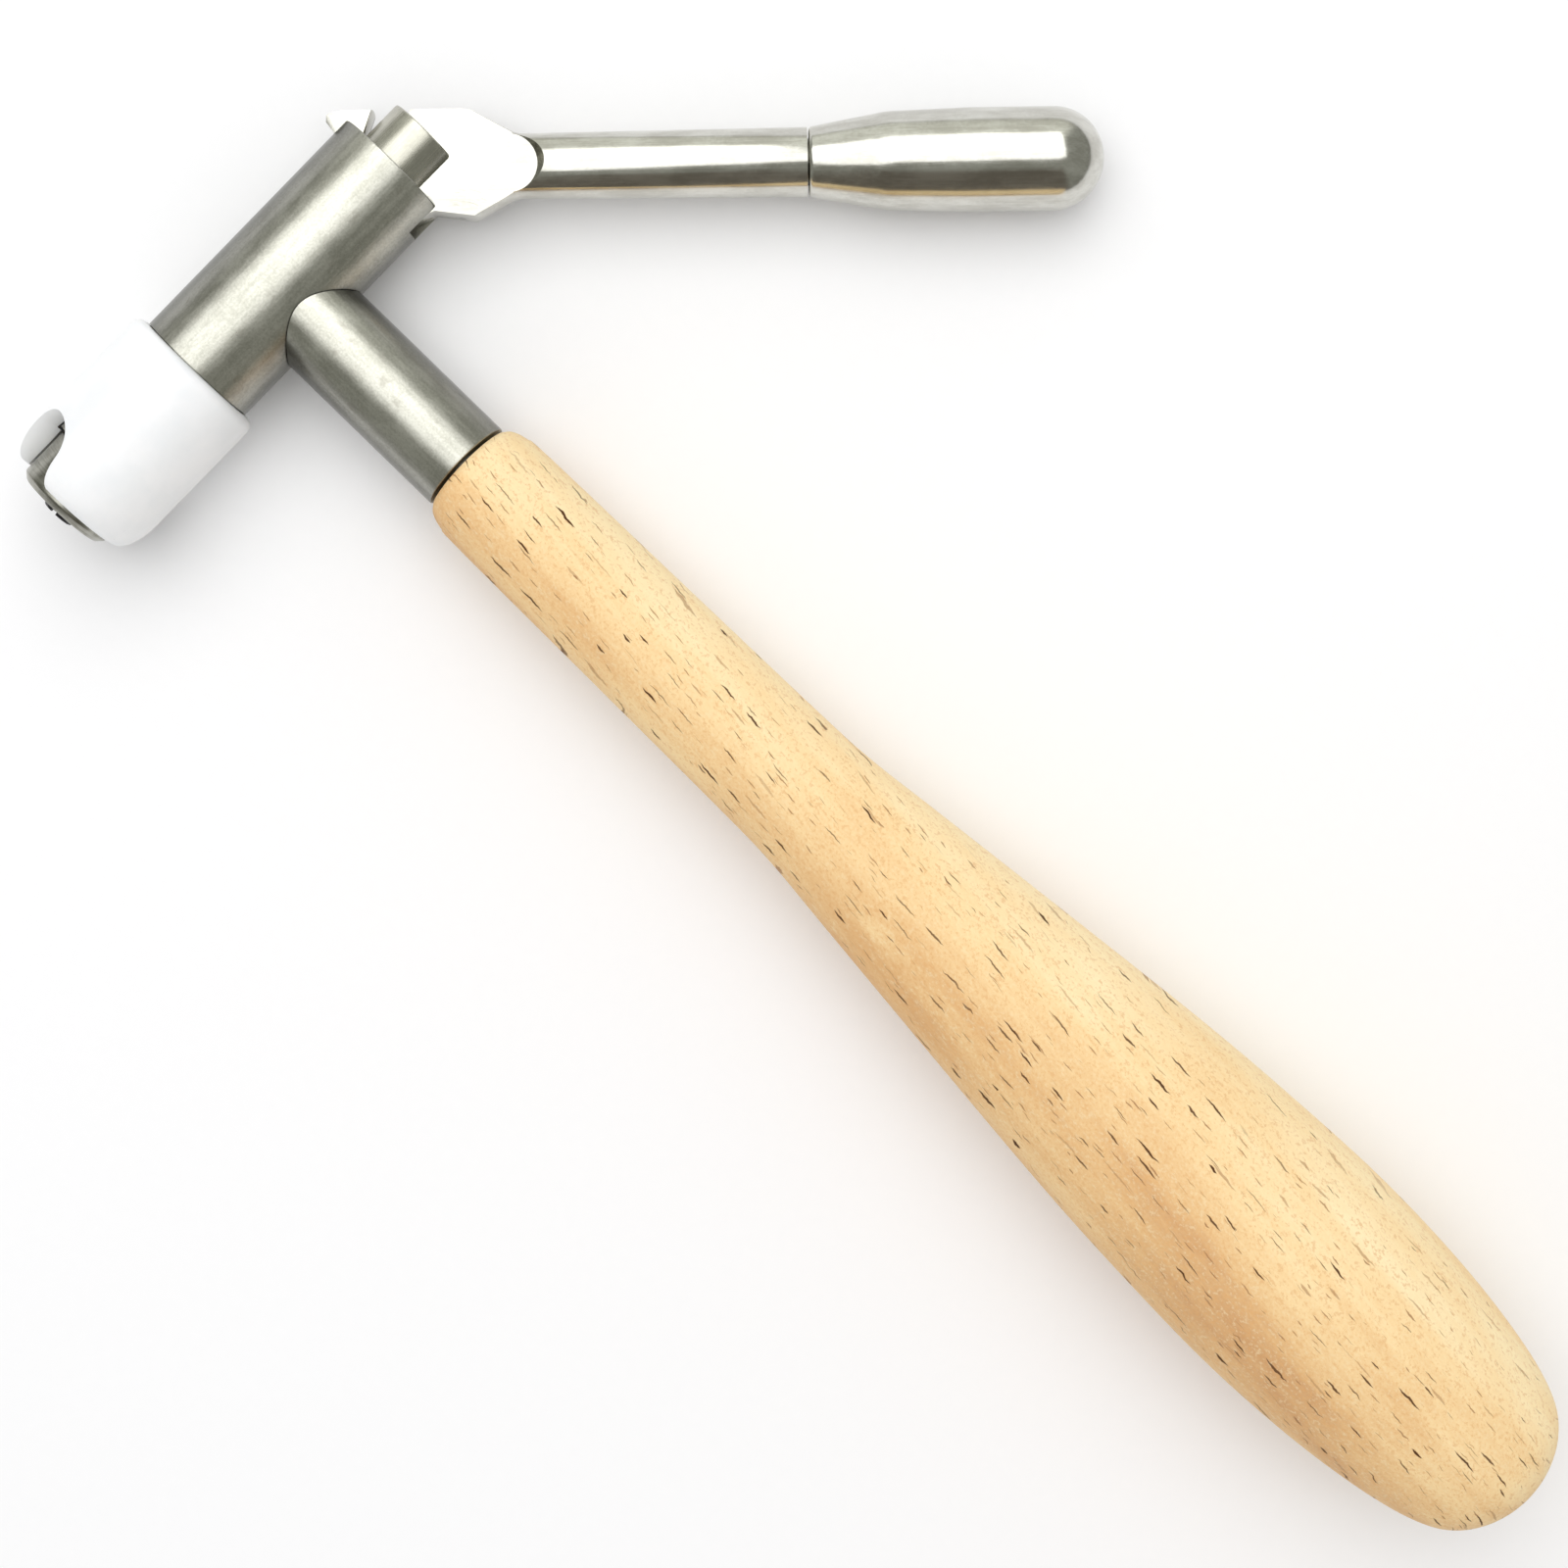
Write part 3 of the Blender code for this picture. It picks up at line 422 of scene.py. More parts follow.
@dataclass(frozen=True)
class PolishedSteel(Finish):
    """Polished steel with fine lengthwise lines and, on the lever's flat, a few curved scratches."""

    slot: Slot = Slot.POLISHED_STEEL
    tint: Colour = (0.67, 0.665, 0.62)
    shade: Colour = (0.50, 0.49, 0.445)
    scratch: Colour = (0.36, 0.35, 0.30)
    roughness: float = 0.17
    scratch_at: tuple[float, float] = (6.0, 2.5)
    scratch_reach: float = 1.5

    def paint(self, graph: Graph, place: Place) -> None:
        """Builds the material's graph."""
        lines = graph.noise(place.point * (0.10, 9.0, 9.0), 1.0, 3.0, 0.65)
        cloud = graph.noise(place.point * (0.25, 0.7, 0.7), 1.0, 4.0, 0.6)
        fine = graph.noise(place.point, 4.0, 3.0, 0.65)
        scratch = self.scratches(graph, place)
        tone = graph.between(cloud * 0.6 + lines * 0.25 + fine * 0.15, 0.38, 0.62)
        colour = graph.mix(tone, self.shade, self.tint)
        colour = graph.mix(scratch * 0.55, colour, self.scratch)
        shine = self.roughness + (lines - 0.5) * 0.10 + (cloud - 0.5) * 0.10 + scratch * 0.1
        height = lines * 0.6 + fine * 0.4 - scratch * 0.8
        graph.surface({
            "Base Color": colour,
            "Metallic": 1.0,
            "Roughness": shine,
            "Normal": graph.bump(height, 0.004, 0.6),
        })

    def scratches(self, graph: Graph, place: Place) -> Wire:
        """A patch of thin curved scratches.

        Args:
            graph: the material's graph.
            place: the piece's coordinates.

        Returns:
            1 in a scratch, 0 elsewhere.
        """
        along = place.along - self.scratch_at[0]
        side = place.side - self.scratch_at[1]
        wobble = graph.noise(place.point, 0.9, 2.0)
        reach = graph.calculate("SQRT", (along + 1.0) * (along + 1.0) + (side - 4.0) * (side - 4.0))
        lines = graph.noise(graph.vector(reach * 6.0 + wobble * 2.0, along * 0.3, 0.0), 1.0, 2.0)
        patch = graph.calculate("SQRT", along * along * 0.6 + side * side)
        inside = graph.between(patch, self.scratch_reach * 0.5, self.scratch_reach, 1.0, 0.0)
        return graph.between(lines, 0.57, 0.66) * inside


@dataclass(frozen=True)
class TurnedSteel(Finish):
    """Steel straight from the lathe, with fine rings round its axis."""

    slot: Slot = Slot.TURNED_STEEL
    dark: Colour = (0.24, 0.235, 0.20)
    light: Colour = (0.42, 0.415, 0.37)
    roughness: float = 0.30

    def paint(self, graph: Graph, place: Place) -> None:
        """Builds the material's graph."""
        rings = graph.noise(place.point * (7.0, 0.25, 0.25), 1.0, 3.0, 0.6)
        cloud = graph.noise(place.point, 0.7, 4.0, 0.6)
        colour = graph.mix(graph.between(rings * 0.5 + cloud * 0.5, 0.38, 0.62), self.dark, self.light)
        graph.surface({
            "Base Color": colour,
            "Metallic": 1.0,
            "Roughness": self.roughness + (rings - 0.5) * 0.16 + (cloud - 0.5) * 0.08,
            "Normal": graph.bump(rings, 0.008, 0.7),
        })


SPRING_FINISH = TurnedSteel(Slot.SPRING_STEEL, roughness=0.2)


@dataclass(frozen=True)
class BlackOxide(Finish):
    """Blackened steel, rubbed grey in places."""

    slot: Slot = Slot.BLACK_OXIDE
    black: Colour = (0.018, 0.018, 0.020)
    rubbed: Colour = (0.16, 0.155, 0.15)

    def paint(self, graph: Graph, place: Place) -> None:
        """Builds the material's graph."""
        cloud = graph.noise(place.point * (0.5, 1.0, 1.0), 0.8, 5.0, 0.65)
        lines = graph.noise(place.point * (0.4, 5.0, 5.0), 1.0, 2.0)
        worn = graph.between(cloud * 0.7 + lines * 0.3, 0.52, 0.68)
        graph.surface({
            "Base Color": graph.mix(worn * 0.6, self.black, self.rubbed),
            "Metallic": 0.7,
            "Roughness": 0.46 - worn * 0.10 + (lines - 0.5) * 0.08,
            "Normal": graph.bump(cloud * 0.5 + lines * 0.5, 0.01, 0.6),
        })


@dataclass(frozen=True)
class Brass(Finish):
    """Turned brass."""

    slot: Slot = Slot.BRASS
    dark: Colour = (0.50, 0.35, 0.13)
    light: Colour = (0.72, 0.54, 0.24)

    def paint(self, graph: Graph, place: Place) -> None:
        """Builds the material's graph."""
        rings = graph.noise(place.point * (6.0, 0.3, 0.3), 1.0, 3.0)
        cloud = graph.noise(place.point, 0.6, 4.0)
        graph.surface({
            "Base Color": graph.mix(graph.between(cloud, 0.35, 0.65), self.dark, self.light),
            "Metallic": 1.0,
            "Roughness": 0.28 + (rings - 0.5) * 0.14,
            "Normal": graph.bump(rings, 0.008, 0.6),
        })


@dataclass(frozen=True)
class WhitePlastic(Finish):
    """Milky machined plastic with soft turning rings and a little grime near its mouth."""

    slot: Slot = Slot.WHITE_PLASTIC
    white: Colour = (0.945, 0.95, 0.95)
    shade: Colour = (0.885, 0.90, 0.905)
    grime: Colour = (0.55, 0.56, 0.55)
    mouth: float = -23.65

    def paint(self, graph: Graph, place: Place) -> None:
        """Builds the material's graph."""
        rings = graph.noise(place.point * (4.0, 0.15, 0.15), 1.0, 2.0)
        cloud = graph.noise(place.point, 0.22, 4.0, 0.55)
        speck = graph.between(graph.noise(place.point, 2.2, 3.0, 0.6), 0.66, 0.76)
        rubbed = graph.between(place.along, self.mouth + 0.2, self.mouth + 3.0, 1.0, 0.0)
        colour = graph.mix(graph.between(cloud, 0.35, 0.70), self.shade, self.white)
        colour = graph.mix(speck * (0.10 + rubbed * 0.25), colour, self.grime)
        graph.surface({
            "Base Color": colour,
            "Roughness": 0.36 + (cloud - 0.5) * 0.12 + rubbed * 0.06,
            "IOR": 1.49,
            "Subsurface Weight": 0.20,
            "Subsurface Radius": (1.0, 0.95, 0.9),
            "Subsurface Scale": 0.9 * MM,
            "Normal": graph.bump(rings * 0.7 + cloud * 0.3, 0.01, 0.5),
        })


@dataclass(frozen=True)
class Rays:
    """One size of the wood's ray flecks, in mm."""

    spacing: tuple[float, float, float]
    half: tuple[float, float, float]
    left_out: float
    offset: tuple[float, float, float] = (0.0, 0.0, 0.0)


@dataclass(frozen=True)
class Beech(Finish):
    """Turned beech: cream to tan, with mottling and rows of short dark ray flecks along the grain."""

    slot: Slot = Slot.BEECH
    tan: Colour = (0.66, 0.37, 0.165)
    straw: Colour = (0.82, 0.53, 0.25)
    cream: Colour = (0.93, 0.68, 0.355)
    pale: Colour = (0.98, 0.81, 0.49)
    knot: Colour = (0.70, 0.36, 0.13)
    fleck: Colour = (0.085, 0.030, 0.007)
    faint_fleck: Colour = (0.30, 0.13, 0.045)
    grain_lean: float = 0.10
    dark_rays: Rays = Rays((3.7, 1.0, 5.0), (1.25, 0.095, 3.0), 0.34)
    fine_rays: Rays = Rays((2.6, 0.75, 4.0), (0.75, 0.06, 2.4), 0.30, (1.7, 0.6, 2.0))
    pale_rays: Rays = Rays((5.5, 1.5, 4.0), (1.7, 0.13, 2.4), 0.35, (3.1, 0.3, 1.0))
    patch_at: tuple[float, float, float] = (72.0, 4.5, 7.0)

    def paint(self, graph: Graph, place: Place) -> None:
        """Builds the material's graph."""
        across = place.side - place.along * self.grain_lean
        grain = graph.vector(place.along, across, place.lift)
        drift = graph.noise(grain * (0.035, 0.14, 0.14), 1.0, 3.0, 0.55)
        bands = graph.noise(grain * (0.012, 0.85, 0.35), 1.0, 3.0, 0.6)
        mottle = graph.noise(grain * (1.6, 2.2, 2.2), 1.0, 4.0, 0.7)
        crumb = graph.noise(grain * (3.4, 4.6, 4.6), 1.0, 3.0, 0.7)
        fibre = graph.noise(grain * (0.25, 7.0, 7.0), 1.0, 3.0, 0.7)
        # Painted shade: the wood's tone falls steadily across the handle towards its +side, the side turned
        # away from the light.
        lower = graph.between(place.side, -9.0, 9.5, 0.07, -0.12)
        tone = drift * 0.40 + bands * 0.18 + mottle * 0.26 + fibre * 0.06 + crumb * 0.10 + lower
        stops = [(0.30, self.tan), (0.40, self.straw), (0.50, self.cream), (0.62, self.pale)]
        colour = graph.ramp(tone, stops)
        speckle = mottle * 0.5 + crumb * 0.5
        colour = graph.mix(graph.between(speckle, 0.50, 0.61) * 0.50, colour, self.knot)
        colour = graph.mix(graph.between(speckle, 0.50, 0.38) * 0.45, colour, self.pale)
        colour = graph.mix(self.patches(graph, place, mottle) * 0.42, colour, self.knot)
        side_share = graph.between(place.side, -7.0, 3.0)
        dark = self.flecks(graph, grain, self.dark_rays, side_share)
        fine = self.flecks(graph, grain, self.fine_rays, side_share)
        pale = self.flecks(graph, grain, self.pale_rays, 1.0 - side_share * 0.5)
        colour = graph.mix(pale * 0.55, colour, self.faint_fleck)
        colour = graph.mix(fine * 0.75, colour, self.faint_fleck)
        colour = graph.mix(dark, colour, self.fleck)
        height = mottle * 0.25 + fibre * 0.35 - dark - fine * 0.4
        graph.surface({
            "Base Color": colour,
            "Roughness": 0.60 + (mottle - 0.5) * 0.16 + dark * 0.2,
            "Specular IOR Level": 0.20,
            "Normal": graph.bump(height, 0.04, 0.6),
        })

    def patches(self, graph: Graph, place: Place, mottle: Wire) -> Wire:
        """Soft orange-brown patches, low in the middle of the handle.

        Args:
            graph: the material's graph.
            place: the piece's coordinates.
            mottle: noise that breaks the patches' edges up.

        Returns:
            1 in the middle of a patch, 0 away from it.
        """
        along, side, reach = self.patch_at
        wander = graph.noise(place.point * (0.12, 0.25, 0.25), 1.0, 3.0)
        near = graph.between(abs(place.along - along), reach * 0.3, reach * 2.2, 1.0, 0.0)
        near = near * graph.between(abs(place.side - side), 0.5, 5.0, 1.0, 0.0)
        return near * graph.between(wander * 0.7 + mottle * 0.3, 0.42, 0.58)

    def flecks(self, graph: Graph, grain: Wire, rays: Rays, share: Wire) -> Wire:
        """Lens-shaped rays, flat along the grain.

        Args:
            graph: the material's graph.
            grain: the place along and across the grain, in mm.
            rays: the rays' size and spacing.
            share: 1 where they are dense, 0 where most are left out.

        Returns:
            1 in a ray, 0 elsewhere.
        """
        bend = graph.noise(grain * (0.05, 0.2, 0.2), 1.0, 2.0) - 0.5
        kink = graph.noise(grain * (1.5, 0.8, 0.3), 1.0, 3.0) - 0.5
        bent = grain + rays.offset + graph.vector(0.0, bend * 1.6 + kink * 0.30, 0.0)
        scaled = bent / rays.spacing
        sockets = {"Vector": scaled, "Scale": 1.0, "Randomness": 0.9}
        centre = graph.node("TexVoronoi", {"feature": "F1"}, sockets, "Position")
        chance, stretch, depth = graph.split(centre.other("Color"))
        u, v, w = graph.split((scaled - centre) * rays.spacing)
        half_length, half_width, half_depth = rays.half
        u = u / (half_length * 0.40 + stretch * half_length * 0.75)
        v = v / (half_width * 0.55 + depth * half_width * 0.65)
        w = w / half_depth
        lens = 1.0 - u * u - w * w - abs(v)
        limit = rays.left_out + (1.0 - share) * 0.38
        present = graph.between(chance - limit, -0.03, 0.03)
        return graph.between(lens, 0.0, 0.40) * present * (0.60 + depth * 0.40)


@dataclass(frozen=True)
class BenchPaper:
    """The plain pale bench top."""

    colour: Colour = (0.93, 0.93, 0.93)

    def material(self) -> bpy.types.Material:
        """The bench's material."""
        made = bpy.data.materials.new("bench_paper")
        made.use_nodes = True
        graph = Graph(made.node_tree)
        fibre = graph.noise(graph.node("TexCoord", {}, {}, "Object"), 900.0, 3.0)
        colour = graph.mix(fibre, tuple(0.985 * part for part in self.colour), self.colour)
        graph.surface({"Base Color": colour, "Roughness": 0.85, "Specular IOR Level": 0.2})
        return made


# ---- workshop ---------------------------------------------------------------------------------------
ON_AXIS = 1e-6         # radius under which a profile's point is on its axis
LONGEST_EASE = 0.42    # share of a side that a corner's rounding takes at most
WELD = 0.001           # distance within which a coil's points are joined
# Sides of turned pieces and of the round cutters.
WIDE_SIDES = 144
SIDES = 128
ROD_SIDES = 112
NARROW_SIDES = 96
HOLE_SIDES = 64
PIN_SIDES = 48


def arc(centre: tuple[float, float], radius: float, start: float, end: float, count: int) -> Profile:
    """Points on an arc, its angles in degrees."""
    angles = np.radians(np.linspace(start, end, count))
    return [(centre[0] + radius * math.cos(a), centre[1] + radius * math.sin(a)) for a in angles]


def eased(
    points: Sequence[tuple[float, float]], radius: float, closed: bool = True, steps: int = 4
) -> Profile:
    """Rounds a profile's corners.

    Args:
        points: the profile.
        radius: how far back along each side a rounding starts, at most.
        closed: whether the last point joins the first.
        steps: points in a rounding.

    Returns:
        The rounded profile.
    """
    count = len(points)
    made: Profile = []
    for index, point in enumerate(points):
        if not closed and index in (0, count - 1):
            made.append(tuple(point))
            continue
        here = Vector(point)
        back = Vector(points[index - 1]) - here
        ahead = Vector(points[(index + 1) % count]) - here
        reach = min(radius, LONGEST_EASE * back.length, LONGEST_EASE * ahead.length)
        start = here + back.normalized() * reach
        end = here + ahead.normalized() * reach
        for share in np.linspace(0, 1, steps):
            bent = start.lerp(here, share).lerp(here.lerp(end, share), share)
            made.append((bent.x, bent.y))
    return made


def smooth_through(stations: Sequence[tuple[float, float]], per_span: int) -> Profile:
    """A Catmull-Rom curve through the given points."""
    points = [np.array(station, float) for station in stations]
    points = [2 * points[0] - points[1], *points, 2 * points[-1] - points[-2]]
    made = []
    for before, start, end, after in zip(points, points[1:], points[2:], points[3:]):
        for t in np.linspace(0, 1, per_span, endpoint=False):
            square = (2 * before - 5 * start + 4 * end - after) * t**2
            cube = (3 * start - before - 3 * end + after) * t**3
            made.append(tuple(0.5 * (2 * start + (end - before) * t + square + cube)))
    made.append(tuple(points[-2]))
    return made


def turned(profile: Sequence[tuple[float, float]], spindle: Spindle, steps: int = SIDES) -> bpy.types.Mesh:
    """A turned solid.

    Args:
        profile: (radius, distance along) points, closed into a loop unless both ends are on the axis.
        spindle: the turning axis.
        steps: how many sides it has.

    Returns:
        The closed mesh, in mm in the tool's frame.
    """
    built = bmesh.new()
    circle = [(math.cos(a), math.sin(a)) for a in np.linspace(0, 2 * math.pi, steps, endpoint=False)]
    rings = []
    for radius, along in profile:
        if radius < ON_AXIS:
            rings.append([built.verts.new(spindle.point(along))] * steps)
        else:
            rings.append([built.verts.new(spindle.point(along, radius * x, radius * y)) for x, y in circle])
    solid = profile[0][0] < ON_AXIS
    pairs = list(zip(rings, rings[1:])) + ([] if solid else [(rings[-1], rings[0])])
    for first, second in pairs:
        for index in range(steps):
            after = (index + 1) % steps
            corners = dict.fromkeys((first[index], first[after], second[after], second[index]))
            if len(corners) > 2:
                built.faces.new(list(corners))
    return as_mesh(built)


def bar(radius: float, low: float, high: float, spindle: Spindle, steps: int) -> bpy.types.Mesh:
    """A plain round bar along a spindle."""
    return turned([(0, low), (radius, low), (radius, high), (0, high)], spindle, steps)


def slab(outline: Sequence[Vector], low: Vector, high: Vector) -> bpy.types.Mesh:
    """A solid from an outline, swept from one offset to another."""
    built = bmesh.new()
    ends = [[built.verts.new(point + offset) for point in outline] for offset in (low, high)]
    built.faces.new(ends[0])
    built.faces.new(ends[1])
    count = len(outline)
    for index in range(count):
        after = (index + 1) % count
        built.faces.new((ends[0][index], ends[0][after], ends[1][after], ends[1][index]))
    return as_mesh(built)


def block(low: Sequence[float], high: Sequence[float]) -> bpy.types.Mesh:
    """A box cutter between two corners."""
    (left, bottom, back), (right, top, front) = low, high
    corners = ((left, bottom), (right, bottom), (right, top), (left, top))
    return slab([Vector((x, y, back)) for x, y in corners], Vector(), Vector((0, 0, front - back)))


def as_mesh(built: bmesh.types.BMesh) -> bpy.types.Mesh:
    """Ends a bmesh as a mesh whose faces point outwards."""
    bmesh.ops.recalc_face_normals(built, faces=built.faces)
    mesh = bpy.data.meshes.new("shape")
    built.to_mesh(mesh)
    built.free()
    return mesh


def evaluated(obj: bpy.types.Object) -> bpy.types.Mesh:
    """An object's mesh with its modifiers applied."""
    bpy.context.view_layer.update()
    graph = bpy.context.evaluated_depsgraph_get()
    return bpy.data.meshes.new_from_object(obj.evaluated_get(graph))


def carved(body: bpy.types.Mesh, cutters: Sequence[bpy.types.Mesh]) -> bpy.types.Mesh:
    """Cuts shapes from a body."""
    scene = bpy.context.scene.collection
    stock = bpy.data.objects.new("stock", body)
    scene.objects.link(stock)
    helpers = []
    for mesh in cutters:
        helper = bpy.data.objects.new("cutter", mesh)
        scene.objects.link(helper)
        helpers.append(helper)
        step = stock.modifiers.new("cut", "BOOLEAN")
        step.operation = "DIFFERENCE"
        step.solver = "EXACT"
        step.object = helper
    result = evaluated(stock)
    for obj in [stock, *helpers]:
        bpy.data.objects.remove(obj)
    return result


def broken_edges(body: bpy.types.Mesh, width: float, angle: float = 35.0) -> bpy.types.Mesh:
    """Takes the sharpness off a mesh's edges, as a file or a tumbler does."""
    stock = bpy.data.objects.new("stock", body)
    bpy.context.scene.collection.objects.link(stock)
    bevel = stock.modifiers.new("edges", "BEVEL")
    bevel.width = width
    bevel.segments = 2
    bevel.limit_method = "ANGLE"
    bevel.angle_limit = math.radians(angle)
    bevel.miter_outer = "MITER_ARC"
    result = evaluated(stock)
    bpy.data.objects.remove(stock)
    return result


@dataclass
class Bench:
    """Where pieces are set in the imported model's frame and dressed."""

    frame: ToolFrame
    nodes: Mapping[str, bpy.types.Object]
    crease: float = 32.0  # degrees from which an edge stays sharp

    def set_piece(
        self,
        name: str,
        mesh: bpy.types.Mesh,
        body: str,
        finish: Finish,
        spindle: Spindle,
        node: str,
    ) -> bpy.types.Object:
        """Places a finished piece and hides the CAD node it stands for.

        Args:
            name: the piece's name.
            mesh: its shape, in mm in the tool's frame.
            body: the CAD body it rides on.
            finish: its finish.
            spindle: the axis its marks follow.
            node: the CAD node it stands for.

        Returns:
            The piece.
        """
        mesh.transform(self.frame.matrix)
        mesh.name = name
        mesh.shade_smooth()
        mesh.set_sharp_from_angle(angle=math.radians(self.crease))
        mesh.materials.clear()
        mesh.materials.append(finish.material(self.frame, spindle))
        piece = bpy.data.objects.new(name, mesh)
        bpy.context.scene.collection.objects.link(piece)
        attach(piece, body)
        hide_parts(node)
        LOG.info("%s: %d faces on %s, for %s", name, len(mesh.polygons), body, node)
        return piece

    def dress_node(self, node: str, finish: Finish, spindle: Spindle) -> None:
        """Gives a CAD node that stays its finish."""
        obj = self.nodes[node]
        made = finish.material(self.frame, spindle)
        for slot in obj.material_slots:
            slot.material = made
        LOG.info("%s: CAD node in %s", node, finish.slot.value)


# ---- sub-assemblies ---------------------------------------------------------------------------------
SLOT_HALF = 1.45  # half the width of the slots that the lever's tongue runs in
BORE = 3.4        # head tube's bore, radius
OVER = 1.0        # how far a cutter runs past what it cuts


@dataclass
class Head:
    """Head tube and stem."""

    radius: float = 5.0
    rim: float = 12.85
    shoulder: float = -9.15
    spigot_radius: float = 4.45
    spigot_end: float = -14.3
    groove: tuple[float, float, float] = (3.8, 4.05, 4.55)
    nose_slot: float = 2.1
    heel_slot: float = 2.9
    stem_radius: float = 4.0
    stem_end: float = 20.4
    stem_spigot: float = 2.6
    stem_bore: tuple[float, float] = (2.6, 8.0)
    gap: float = 0.1
    edge: float = 0.16

    def build(self, bench: Bench) -> None:
        """Builds and dresses both tubes."""
        finish = SatinSteel()
        bench.set_piece("head_tube_shell", self.tube(), "body", finish, Spindle.HEAD, "head_tube")
        bench.set_piece("stem_shell", self.stem(), "body", finish, Spindle.HANDLE, "stem_tube")

    def tube(self) -> bpy.types.Mesh:
        """The crosspiece with its two slots and the stem's hole."""
        deep, low, high = self.groove
        outer = [(BORE, self.rim), (self.radius, self.rim), (self.radius, self.shoulder)]
        spigot = [
            (self.spigot_radius, self.shoulder),
            (self.spigot_radius, self.spigot_end),
            (BORE, self.spigot_end),
        ]
        channel = [(BORE, low), (deep, low), (deep, high), (BORE, high)]
        body = turned(eased(outer, self.edge, False) + spigot + channel, Spindle.HEAD, WIDE_SIDES)
        out, into = self.radius + OVER, BORE - OVER
        top = self.rim + OVER
        nose = block((-out, self.rim - self.nose_slot, -SLOT_HALF), (-into, top, SLOT_HALF))
        heel = block((into, self.rim - self.heel_slot, -SLOT_HALF), (out, top, SLOT_HALF))
        hole = bar(self.stem_spigot + self.gap, into, out, Spindle.HANDLE, HOLE_SIDES)
        return carved(body, [nose, heel, hole])

    def stem(self) -> bpy.types.Mesh:
        """The stem, coped to the head tube."""
        start = BORE / 2
        outline = [
            (0, self.stem_end),
            (self.stem_radius, self.stem_end),
            (self.stem_radius, start),
            (0, start),
        ]
        body = turned(eased(outline, self.edge, False), Spindle.HANDLE)
        reach = self.stem_radius + OVER
        cope = bar(self.radius + self.gap, -reach, reach, Spindle.HEAD, WIDE_SIDES)
        keep = bar(self.stem_spigot, 0, 2 * self.radius, Spindle.HANDLE, HOLE_SIDES)
        inside = bar(BORE + self.gap, -reach, reach, Spindle.HEAD, NARROW_SIDES)
        bore, bore_start = self.stem_bore
        hollow = bar(bore, bore_start, self.stem_end + OVER, Spindle.HANDLE, HOLE_SIDES)
        return carved(body, [carved(cope, [keep]), inside, hollow])


@dataclass
class Handle:
    """The turned wooden handle and the tang in it."""

    front: float = 20.7
    bore: float = 2.6
    bore_end: float = 66.0
    steps_between: int = 7
    stations: Profile = field(default_factory=lambda: [
        (0.0, 4.0), (0.5, 4.5), (1.7, 4.87), (4.0, 5.05), (20.0, 5.25), (33.0, 5.42), (38.3, 5.62),
        (45.0, 6.33), (57.0, 7.6), (71.0, 9.0), (80.0, 9.62), (89.5, 9.95), (98.0, 9.6), (105.0, 8.72),
        (109.9, 7.5), (112.6, 5.9), (114.3, 3.2), (114.8, 0.0),
    ])

    def build(self, bench: Bench) -> None:
        """Builds and dresses the handle."""
        curve = smooth_through(self.stations, self.steps_between)
        outside = [(max(radius, 0.0), self.front + at) for at, radius in curve]
        inside = [(self.bore, self.front), (self.bore, self.bore_end), (0, self.bore_end)]
        wood = turned(outside[::-1] + inside, Spindle.HANDLE, WIDE_SIDES)
        bench.set_piece("handle_wood", wood, "body", Beech(), Spindle.HANDLE, "handle_grip")
        bench.dress_node("handle_tang", TurnedSteel(), Spindle.HANDLE)


